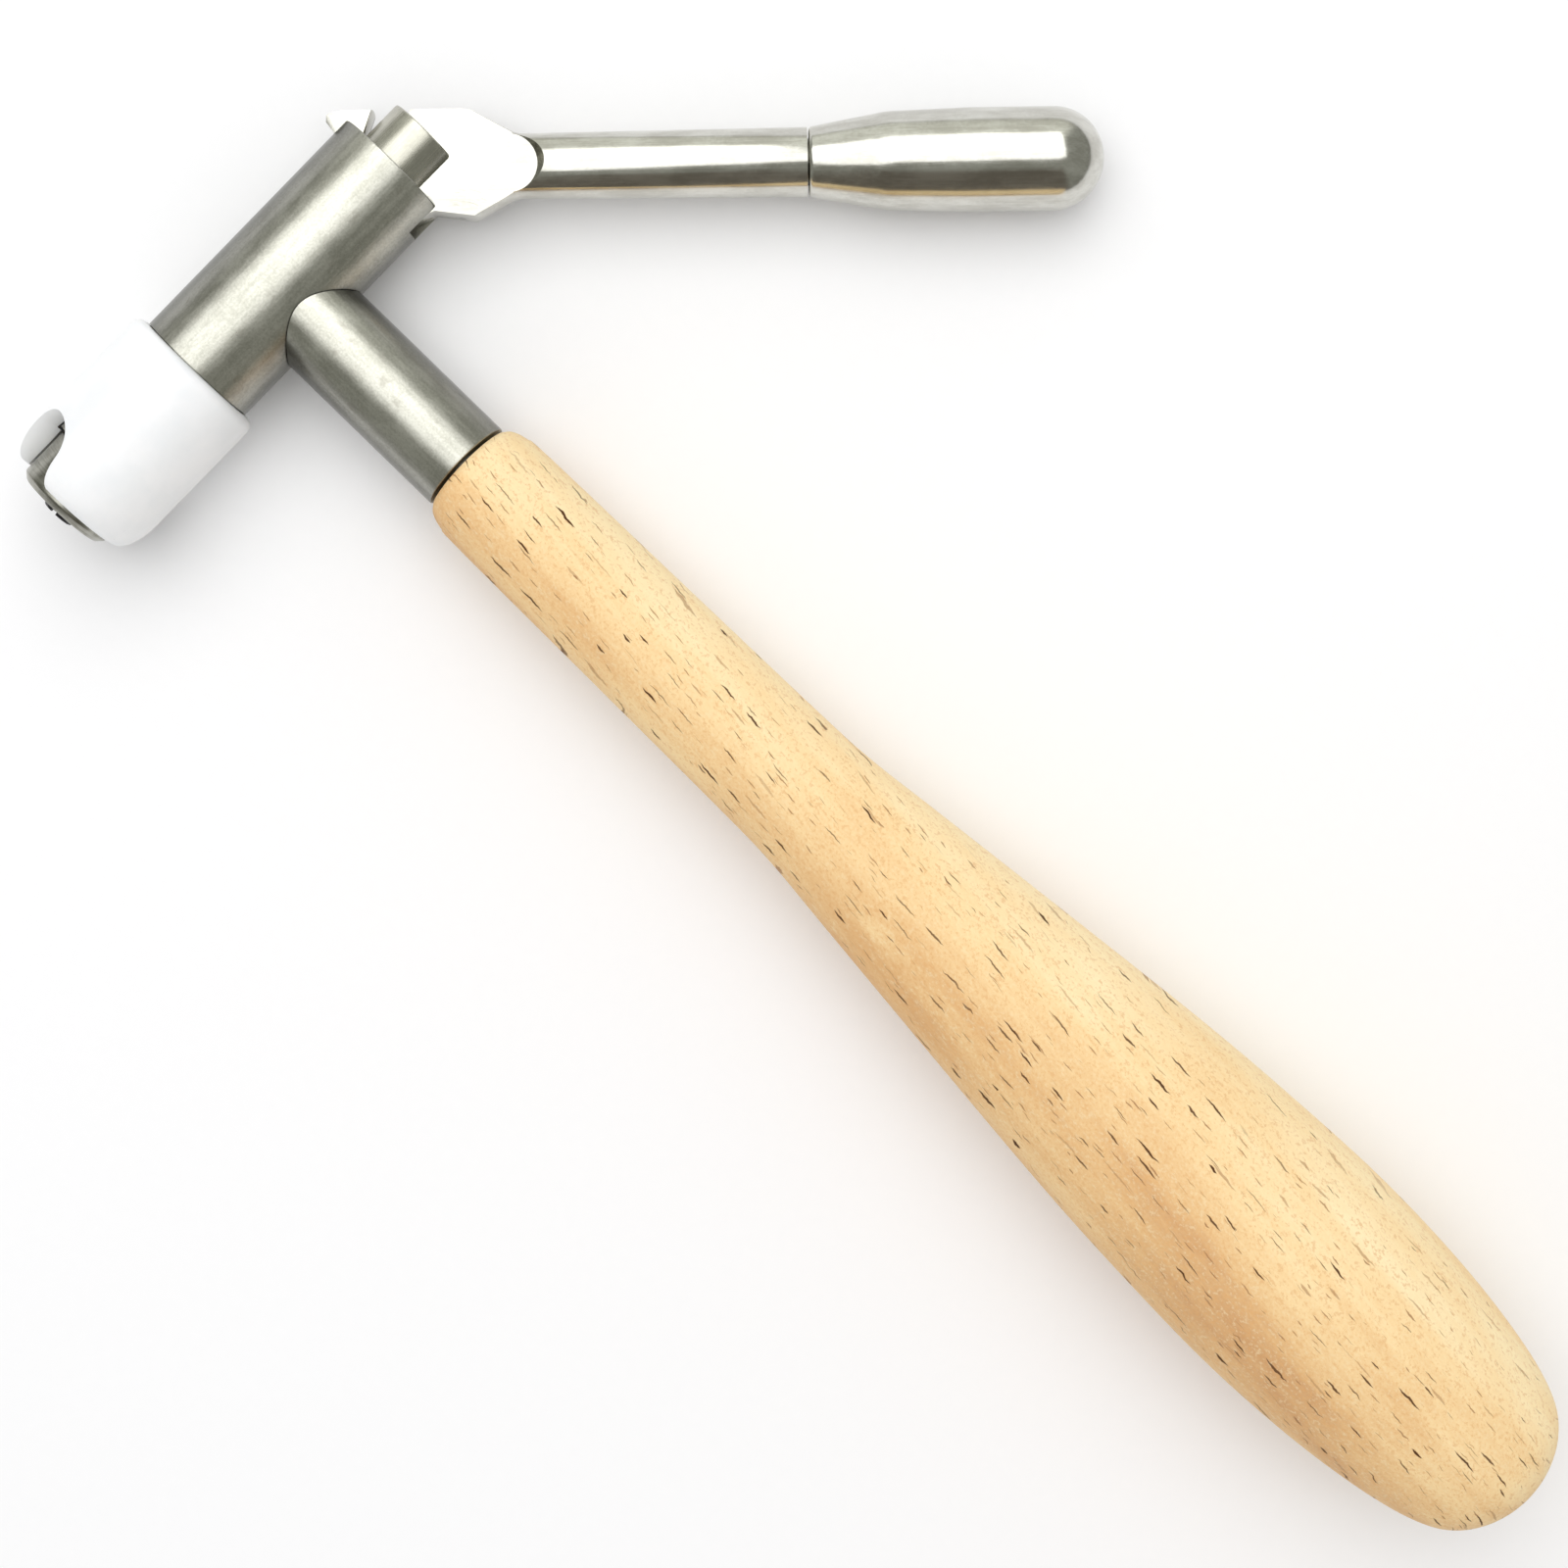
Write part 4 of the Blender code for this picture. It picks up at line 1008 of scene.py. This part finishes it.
@dataclass
class Lever:
    """The squeeze lever: milled arm and thicker grip."""

    stock_start: float = -9.375
    bar_radius: float = 4.45
    bar_end: float = 6.2
    bar_edge: float = 0.45
    rod_start: float = 9.75
    rod_radius: float = 2.5
    rod_end_radius: float = 2.68
    fillet: float = 0.3
    tongue: float = 2.5
    flat_corner: float = 7.5
    flat_end: tuple[float, float] = (9.1, 2.3)
    run_out: float = 0.5
    pin_height: float = 9.5
    notch_radius: float = 1.45
    notch_lean: float = 25.4
    rim: float = 12.85
    tube_radius: float = 5.0
    nose_reach: float = 6.25
    nose_step: float = 0.65
    nose_top: float = 1.5
    nose_bevel: float = 0.35
    nose_floor: float = 11.25
    boss: float = 2.3
    heel: tuple[float, float, float] = (2.9, 3.95, 10.25)
    outer_edge: Profile = field(
        default_factory=lambda: [(-0.05, -0.3), (0.6, 0.2), (3.5, 2.4), (4.5, 2.65)]
    )
    edge: float = 0.07
    grip_start: float = 32.4
    cone_end: float = 38.3
    cone_radius: float = 3.75
    cone_blend: float = 0.8
    cone_swell: float = 0.06
    cone_dip: float = 0.16
    grip_full: float = 45.0
    grip_radius: float = 4.0
    grip_end: float = 55.6
    tenon: tuple[float, float] = (1.8, 13.0)
    gap: float = 0.1
    face_gap: float = 0.3

    def build(self, bench: Bench) -> None:
        """Builds and dresses the lever."""
        finish = PolishedSteel()
        bench.set_piece("lever_arm_milled", self.arm(), "lever", finish, Spindle.LEVER, "lever_arm")
        bench.set_piece("lever_grip_turned", self.grip(), "lever", finish, Spindle.LEVER, "lever_grip")

    def outline(self) -> list[Vector]:
        """The tongue's edge in the tool's plane, closed round the waste below it."""
        tip = -self.nose_reach
        nose = [
            (tip + self.nose_step, self.rim + self.nose_top),
            (tip + self.nose_step, self.rim + self.nose_bevel),
            (tip, self.rim - self.nose_step),
            (tip, self.nose_floor + 2 * self.nose_bevel),
            (tip + self.nose_bevel, self.nose_floor + self.nose_bevel),
            (-BORE + 0.2, self.nose_floor),
        ]
        boss = arc((0, self.pin_height), self.boss, 165, 345, 31)
        inner, outer, height = self.heel
        heel = [(inner, height), (outer, height)]
        edge = [(self.tube_radius + x, self.rim + y) for x, y in self.outer_edge]
        far = 2 * self.rim
        outside = 2 * (self.tube_radius + OVER)
        waste = [
            (outside, self.rim),
            (outside, -far / 2),
            (-far, -far / 2),
            (-far, self.rim + self.nose_top),
        ]
        return [Vector((x, y, 0)) for x, y in nose + boss + heel + edge + waste]

    def arm(self) -> bpy.types.Mesh:
        """The bar, milled flat, edged and notched."""
        tenon_radius, tenon_length = self.tenon
        end = self.grip_start + tenon_length
        shoulder = eased([
            (self.rod_end_radius, self.grip_start),
            (self.rod_radius, self.rod_start + self.fillet),
            (self.rod_radius + self.fillet / 2, self.rod_start - self.fillet),
            (self.bar_radius - self.bar_edge, self.bar_end + 1.5 * self.bar_edge),
            (self.bar_radius - self.bar_edge / 4, self.bar_end + self.bar_edge / 4),
            (self.bar_radius, self.bar_end - self.bar_edge),
            (self.bar_radius, self.stock_start),
        ], 0.4, False, 5)
        tenon = [(0, end), (tenon_radius, end), (tenon_radius, self.grip_start)]
        body = turned([*tenon, *shoulder, (0, self.stock_start)], Spindle.LEVER)
        half = Vector((0, 0, self.bar_radius + OVER))
        cutters = [self.flat(1), self.flat(-1), slab(self.outline(), -half, half), self.notch(half)]
        return broken_edges(carved(body, cutters), self.edge)

    def flat(self, sign: int) -> bpy.types.Mesh:
        """The cutter for one of the tongue's flats, its end wall sloping outwards."""
        beyond = self.bar_radius + OVER
        behind = self.stock_start - OVER
        centre, radius = self.flat_end
        points = [(behind, -beyond), (self.flat_corner, -beyond)]
        points += arc((centre, 0), radius, -80, 80, 33)
        points += [(self.flat_corner, beyond), (behind, beyond)]
        outline = [Spindle.LEVER.point(along, side, sign * self.tongue / 2) for along, side in points]
        sweep = Spindle.LEVER.lift * beyond * sign + Spindle.LEVER.along * self.run_out * beyond
        return slab(outline, Vector(), sweep)

    def notch(self, half: Vector) -> bpy.types.Mesh:
        """The cutter for the pin's leaning notch."""
        lean = math.radians(self.notch_lean)
        pin = Vector((0, self.pin_height))
        up = Vector((-math.sin(lean), math.cos(lean))) * 2 * self.rim
        across = Vector((math.cos(lean), math.sin(lean))) * self.notch_radius
        points = arc(pin, self.notch_radius, 180 + self.notch_lean, 360 + self.notch_lean, 25)
        points += [tuple(pin + across + up), tuple(pin - across + up)]
        return slab([Vector((x, y, 0)) for x, y in points], -half, half)

    def grip(self) -> bpy.types.Mesh:
        """The thicker end, pressed on the arm's tenon."""
        bore = self.tenon[0] + self.gap
        front = self.grip_start + self.gap
        bore_end = self.grip_start + self.tenon[1] + self.face_gap
        dome = [(x, y) for y, x in arc((self.grip_end - self.grip_radius, 0), self.grip_radius, 0, 90, 25)]
        taper = eased([
            dome[-1],
            (self.grip_radius, self.grip_full),
            (self.cone_radius + self.cone_swell, self.cone_end + self.cone_blend),
            (self.cone_radius, self.cone_end),
            (self.cone_radius - self.cone_dip, self.cone_end - self.cone_blend),
            (self.rod_end_radius, front),
            (bore, front),
        ], 0.5, False, 6)
        outside = [(max(radius, 0.0), along) for radius, along in dome[:-1] + taper]
        return turned(outside + [(bore, bore_end), (0, bore_end)], Spindle.LEVER)


@dataclass
class Puller:
    """The forked draw rod, and what it carries down to the collet."""

    rod_radius: float = 3.2
    rod_top: float = 16.45
    edge: float = 0.22
    fork_floor: float = 6.6
    shoulder: float = 5.0
    seat: float = 4.3
    stop_radius: float = 2.6
    neck_radius: float = 1.6
    bottom: float = -7.9
    pin_radius: float = 1.15
    collet_radius: float = 2.0
    collet_top: float = -8.9
    collet_bottom: float = -25.0
    collet_taper: float = 1.5
    tip_radius: float = 1.25
    collet_bore: float = 1.35
    jaw_bore: float = 0.75
    jaw_length: float = 2.2
    jaw_step: float = 0.5
    slit: float = 0.5
    slit_length: float = 12.3

    def build(self, bench: Bench) -> None:
        """Builds and dresses the rod and collet, and dresses what joins them."""
        dull = PolishedSteel(tint=(0.56, 0.55, 0.48), shade=(0.42, 0.41, 0.36), roughness=0.27)
        bench.set_piece("draw_rod_fork", self.rod(), "draw", dull, Spindle.HEAD, "draw_rod")
        bench.set_piece("collet_jaws", self.collet(), "draw", BlackOxide(), Spindle.HEAD, "collet")
        bench.dress_node("lever_pin", TurnedSteel(), Spindle.PIN)
        bench.dress_node("lock_nut", Brass(), Spindle.HEAD)
        bench.dress_node("collet_holder", TurnedSteel(), Spindle.HEAD)

    def rod(self) -> bpy.types.Mesh:
        """The draw rod with its fork slot and pin hole."""
        profile = eased([
            (0, self.rod_top),
            (self.rod_radius, self.rod_top),
            (self.rod_radius, self.shoulder),
            (self.stop_radius, self.shoulder),
            (self.stop_radius, self.seat),
            (self.neck_radius, self.seat),
            (self.neck_radius, self.bottom),
            (0, self.bottom),
        ], self.edge, False)
        body = turned(profile, Spindle.HEAD, ROD_SIDES)
        wide = self.rod_radius + OVER
        fork = block((-wide, self.fork_floor, -SLOT_HALF), (wide, self.rod_top + OVER, SLOT_HALF))
        hole = bar(self.pin_radius, -wide, wide, Spindle.PIN, PIN_SIDES)
        return carved(body, [fork, hole])

    def collet(self) -> bpy.types.Mesh:
        """The split collet."""
        jaw_top = self.collet_bottom + self.jaw_length
        profile = eased([
            (self.collet_bore, self.collet_top),
            (self.collet_radius, self.collet_top),
            (self.collet_radius, self.collet_bottom + self.collet_taper),
            (self.tip_radius, self.collet_bottom),
            (self.jaw_bore, self.collet_bottom),
            (self.jaw_bore, jaw_top),
            (self.collet_bore, jaw_top + self.jaw_step),
        ], 0.15)
        body = turned(profile, Spindle.HEAD, NARROW_SIDES)
        wide, half = self.collet_radius + OVER, self.slit / 2
        low, high = self.collet_bottom - OVER, self.collet_bottom + self.slit_length
        slits = [block((-x, low, -z), (x, high, z)) for x, z in ((wide, half), (half, wide))]
        return carved(body, slits)


@dataclass
class Nose:
    """White cap, pressure sleeve and their ring."""

    shoulder: float = -9.25
    mouth: float = -23.65
    radius: float = 6.05
    top_round: float = 0.9
    mouth_round: float = 3.4
    rim_radius: float = 4.65
    bore: float = 4.55
    mouth_bore: float = 4.2
    ledge: float = -19.95
    window: tuple[float, float] = (5.4, 5.0)
    window_angle: float = 42.0
    sleeve_radius: float = 4.0
    sleeve_mouth: float = -24.5
    sleeve_shoulder: float = -19.9
    neck_radius: float = 3.2
    neck_top: float = -12.0
    neck_bore: float = 2.8
    head_bore: float = 2.2
    bevel: float = 0.5
    edge: float = 0.10
    edge_angle: float = 40.0

    def build(self, bench: Bench) -> None:
        """Builds and dresses the nose."""
        bench.set_piece("nose_cap_white", self.cap(), "cap", WhitePlastic(), Spindle.HEAD, "nose_cap")
        sleeve, lathe = self.sleeve(), TurnedSteel()
        bench.set_piece("pressure_sleeve_turned", sleeve, "sleeve", lathe, Spindle.HEAD, "pressure_sleeve")
        bench.dress_node("sleeve_ring", SPRING_FINISH, Spindle.HEAD)

    def cap(self) -> bpy.types.Mesh:
        """The cap with its two arched windows."""
        top = arc((self.radius - self.top_round, self.shoulder - self.top_round), self.top_round, 90, 0, 12)
        mouth = [
            (
                self.rim_radius + (self.radius - self.rim_radius) * math.cos(a),
                self.mouth + self.mouth_round * (1 - math.sin(a)),
            )
            for a in np.radians(np.linspace(0, 90, 20))
        ]
        inside = [(self.mouth_bore, self.mouth), (self.mouth_bore, self.ledge), (self.bore, self.ledge)]
        body = turned([(self.bore, self.shoulder)] + top + mouth + inside, Spindle.HEAD, WIDE_SIDES)
        width, height = self.window
        half = width / 2
        arch = [(half, self.mouth - OVER)] + arc((0, self.mouth + height - half), half, 0, 180, 41)
        arch += [(-half, self.mouth - OVER)]
        turn = Matrix.Rotation(-math.radians(self.window_angle), 3, "Y")
        outline = [turn @ Vector((x, y, 0)) for x, y in arch]
        through = turn @ Vector((0, 0, self.radius + OVER))
        windowed = carved(body, [slab(outline, -through, through)])
        return broken_edges(windowed, self.edge, self.edge_angle)

    def sleeve(self) -> bpy.types.Mesh:
        """The pressure sleeve round the collet."""
        step = (self.sleeve_mouth + self.sleeve_shoulder) / 2
        profile = eased([
            (self.neck_bore, self.neck_top),
            (self.neck_radius, self.neck_top),
            (self.neck_radius, self.sleeve_shoulder),
            (self.sleeve_radius, self.sleeve_shoulder),
            (self.sleeve_radius, self.sleeve_mouth + self.bevel),
            (self.sleeve_radius - self.bevel, self.sleeve_mouth),
            (self.head_bore + self.bevel / 2, self.sleeve_mouth),
            (self.head_bore, self.sleeve_mouth + self.bevel),
            (self.head_bore, step),
            (self.neck_bore, step + self.bevel),
        ], 0.12)
        return turned(profile, Spindle.HEAD)


@dataclass
class Springs:
    """Return spring and sleeve spring, and the bush and clip between them."""

    wire: float = 0.25
    coil_gap: float = 0.15
    per_turn: int = 40
    return_ends: tuple[float, float] = (-2.9, 1.5)
    return_radius: float = 2.85
    return_turns: int = 3
    sleeve_ends: tuple[float, float] = (-19.15, -14.4)
    sleeve_radius: float = 3.875
    sleeve_turns: int = 1
    rod_travel: float = 2.04
    sleeve_travel: float = 2.0

    def build(self, bench: Bench) -> None:
        """Builds and dresses the springs, and dresses bush and clip."""
        coils = (
            ("return_spring", self.return_radius, self.return_ends, self.return_turns),
            ("sleeve_spring", self.sleeve_radius, self.sleeve_ends, self.sleeve_turns),
        )
        strokes = (("draw_slide", self.rod_travel), ("sleeve_slide", self.sleeve_travel))
        for (node, radius, ends, turns), (joint, travel) in zip(coils, strokes):
            mesh = self.coil(radius, ends, turns)
            piece = bench.set_piece(node + "_wire", mesh, "body", SPRING_FINISH, Spindle.HEAD, node)
            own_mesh(piece)
        bench.dress_node("guide_bush", Brass(), Spindle.HEAD)
        bench.dress_node("bush_clip", SPRING_FINISH, Spindle.HEAD)

    def coil(self, radius: float, ends: tuple[float, float], turns: int) -> bpy.types.Mesh:
        """A compression spring with a closed turn at each end.

        Args:
            radius: the wire's mean distance from the axis.
            ends: lowest and highest point along the axis.
            turns: number of open turns.

        Returns:
            The wire's mesh, in mm in the tool's frame.
        """
        closed_pitch = 2 * self.wire + self.coil_gap
        low, high = ends[0] + self.wire, ends[1] - self.wire
        open_length = high - low - 2 * closed_pitch
        count = (turns + 2) * self.per_turn + 1
        curve = bpy.data.curves.new("coil", "CURVE")
        curve.dimensions = "3D"
        curve.bevel_depth = self.wire
        curve.bevel_resolution = 4
        curve.use_fill_caps = True
        spline = curve.splines.new("POLY")
        spline.points.add(count - 1)
        for index, point in enumerate(spline.points):
            turn = index / self.per_turn
            height = low + closed_pitch * min(turn, 1)
            height += open_length * min(max(turn - 1, 0), turns) / turns
            height += closed_pitch * max(turn - 1 - turns, 0)
            angle = 2 * math.pi * turn
            point.co = (radius * math.cos(angle), height, radius * math.sin(angle), 1)
        drawn = bpy.data.objects.new("coil", curve)
        bpy.context.scene.collection.objects.link(drawn)
        mesh = evaluated(drawn)
        bpy.data.objects.remove(drawn)
        built = bmesh.new()
        built.from_mesh(mesh)
        bmesh.ops.remove_doubles(built, verts=built.verts, dist=WELD)
        return as_mesh(built)


# ---- studio -----------------------------------------------------------------------------------------
@dataclass
class Studio:
    """Bench top, soft light and camera."""

    right: tuple[float, float, float] = (0.7173, 0.6968, 0.0)
    above: tuple[float, float, float] = (-0.6968, 0.7173, 0.0)
    aim: tuple[float, float] = (55.5, -0.5)
    distance: float = 207.0
    lens: float = 60.75
    bench_half: float = 2.5
    softbox_power: float = 2.1
    softbox_size: float = 0.62
    softbox_distance: float = 0.55
    softbox_lean: tuple[float, float] = (-0.12, 0.30)
    fill: Colour = (0.64, 0.64, 0.645)
    room: Colour = (0.32, 0.325, 0.29)
    beyond: Colour = (0.90, 0.91, 0.83)
    user: Colour = (0.165, 0.15, 0.125)
    floor_line: Colour = (0.20, 0.20, 0.175)
    backdrop: Colour = (0.93, 0.93, 0.93)
    clip: tuple[float, float] = (0.01, 20.0)

    def build(self, frame: ToolFrame) -> None:
        """Sets up bench, lights and camera."""
        self.lay_bench()
        self.hang_softbox(frame)
        self.set_camera(frame)
        self.paint_room(frame)
        view = bpy.context.scene.view_settings
        view.view_transform = "Standard"
        view.look = "None"

    def lay_bench(self) -> None:
        """The plain pale floor."""
        mesh = bpy.data.meshes.new("bench_top")
        half = self.bench_half
        corners = [(-half, -half, 0), (half, -half, 0), (half, half, 0), (-half, half, 0)]
        mesh.from_pydata(corners, [], [(0, 1, 2, 3)])
        mesh.materials.append(BenchPaper().material())
        top = bpy.data.objects.new("bench_top", mesh)
        bpy.context.scene.collection.objects.link(top)

    def hang_softbox(self, frame: ToolFrame) -> None:
        """One large square light above and beyond the tool, facing its middle."""
        lamp = bpy.data.lights.new("softbox", "AREA")
        lamp.shape = "SQUARE"
        lamp.size = self.softbox_size
        lamp.energy = self.softbox_power
        obj = bpy.data.objects.new("softbox", lamp)
        bpy.context.scene.collection.objects.link(obj)
        beside, beyond = self.softbox_lean
        lean = Vector(self.right) * beside + Vector(self.above) * beyond
        direction = frame.direction(lean + Vector((0, 0, 1)))
        centre = frame.matrix @ Vector((*self.aim, 0))
        obj.location = centre + direction * self.softbox_distance
        obj.rotation_euler = (-direction).to_track_quat("-Z", "Y").to_euler()
        obj.visible_camera = False

    def set_camera(self, frame: ToolFrame) -> None:
        """The camera, square to the tool's plane."""
        camera = bpy.data.cameras.new("camera")
        camera.lens = self.lens
        camera.clip_start, camera.clip_end = self.clip
        obj = bpy.data.objects.new("camera", camera)
        bpy.context.scene.collection.objects.link(obj)
        turn = Matrix([frame.direction(axis) for axis in (self.right, self.above, (0, 0, 1))]).transposed()
        place = frame.matrix @ Vector((*self.aim, self.distance))
        obj.matrix_world = Matrix.Translation(place) @ turn.to_4x4()
        bpy.context.scene.camera = obj

    def paint_room(self, frame: ToolFrame) -> None:
        """A pale room for the steel to mirror: brighter beyond the tool, dark where the user stands."""
        world = bpy.data.worlds.new("room")
        bpy.context.scene.world = world
        world.use_nodes = True
        graph = Graph(world.node_tree)
        direction = graph.node("TexCoord", {}, {}, "Generated")
        ahead = graph.dot(direction, tuple(frame.direction(self.above)))
        beside = graph.dot(direction, tuple(frame.direction(self.right)))
        height = graph.dot(direction, tuple(frame.direction((0, 0, 1))))
        level = graph.calculate("SQRT", ahead * ahead + beside * beside + 0.0001)
        facing = ahead / level
        mirrored = graph.mix(graph.between(facing, 0.74, 0.95), self.room, self.beyond)
        mirrored = graph.mix(graph.between(height, 0.0, 0.30, 0.6, 0.0), mirrored, self.floor_line)
        stands = graph.between(facing, -0.93, -0.80, 1.0, 0.0) * graph.between(height, 0.76, 0.85, 1.0, 0.0)
        mirrored = graph.mix(stands, mirrored, self.user)
        path = graph.node("LightPath", {}, {}, "Is Camera Ray")
        colour = graph.mix(path.other("Is Diffuse Ray"), mirrored, self.fill)
        colour = graph.mix(path, colour, self.backdrop)
        shade = graph.node("Background", {}, {"Color": colour, "Strength": 1.0})
        graph.node("OutputWorld", {}, {"Surface": shade})


def main() -> None:
    """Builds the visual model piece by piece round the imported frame."""
    logging.basicConfig(level=logging.INFO, format="%(name)s: %(message)s")
    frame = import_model()
    tool = ToolFrame.from_joints(frame["joints"])
    bench = Bench(tool, frame["nodes"])
    for assembly in (Head(), Handle(), Lever(), Puller(), Nose(), Springs()):
        LOG.info("building the %s", type(assembly).__name__.lower())
        assembly.build(bench)
    Studio().build(tool)


if __name__ == "__main__":
    main()
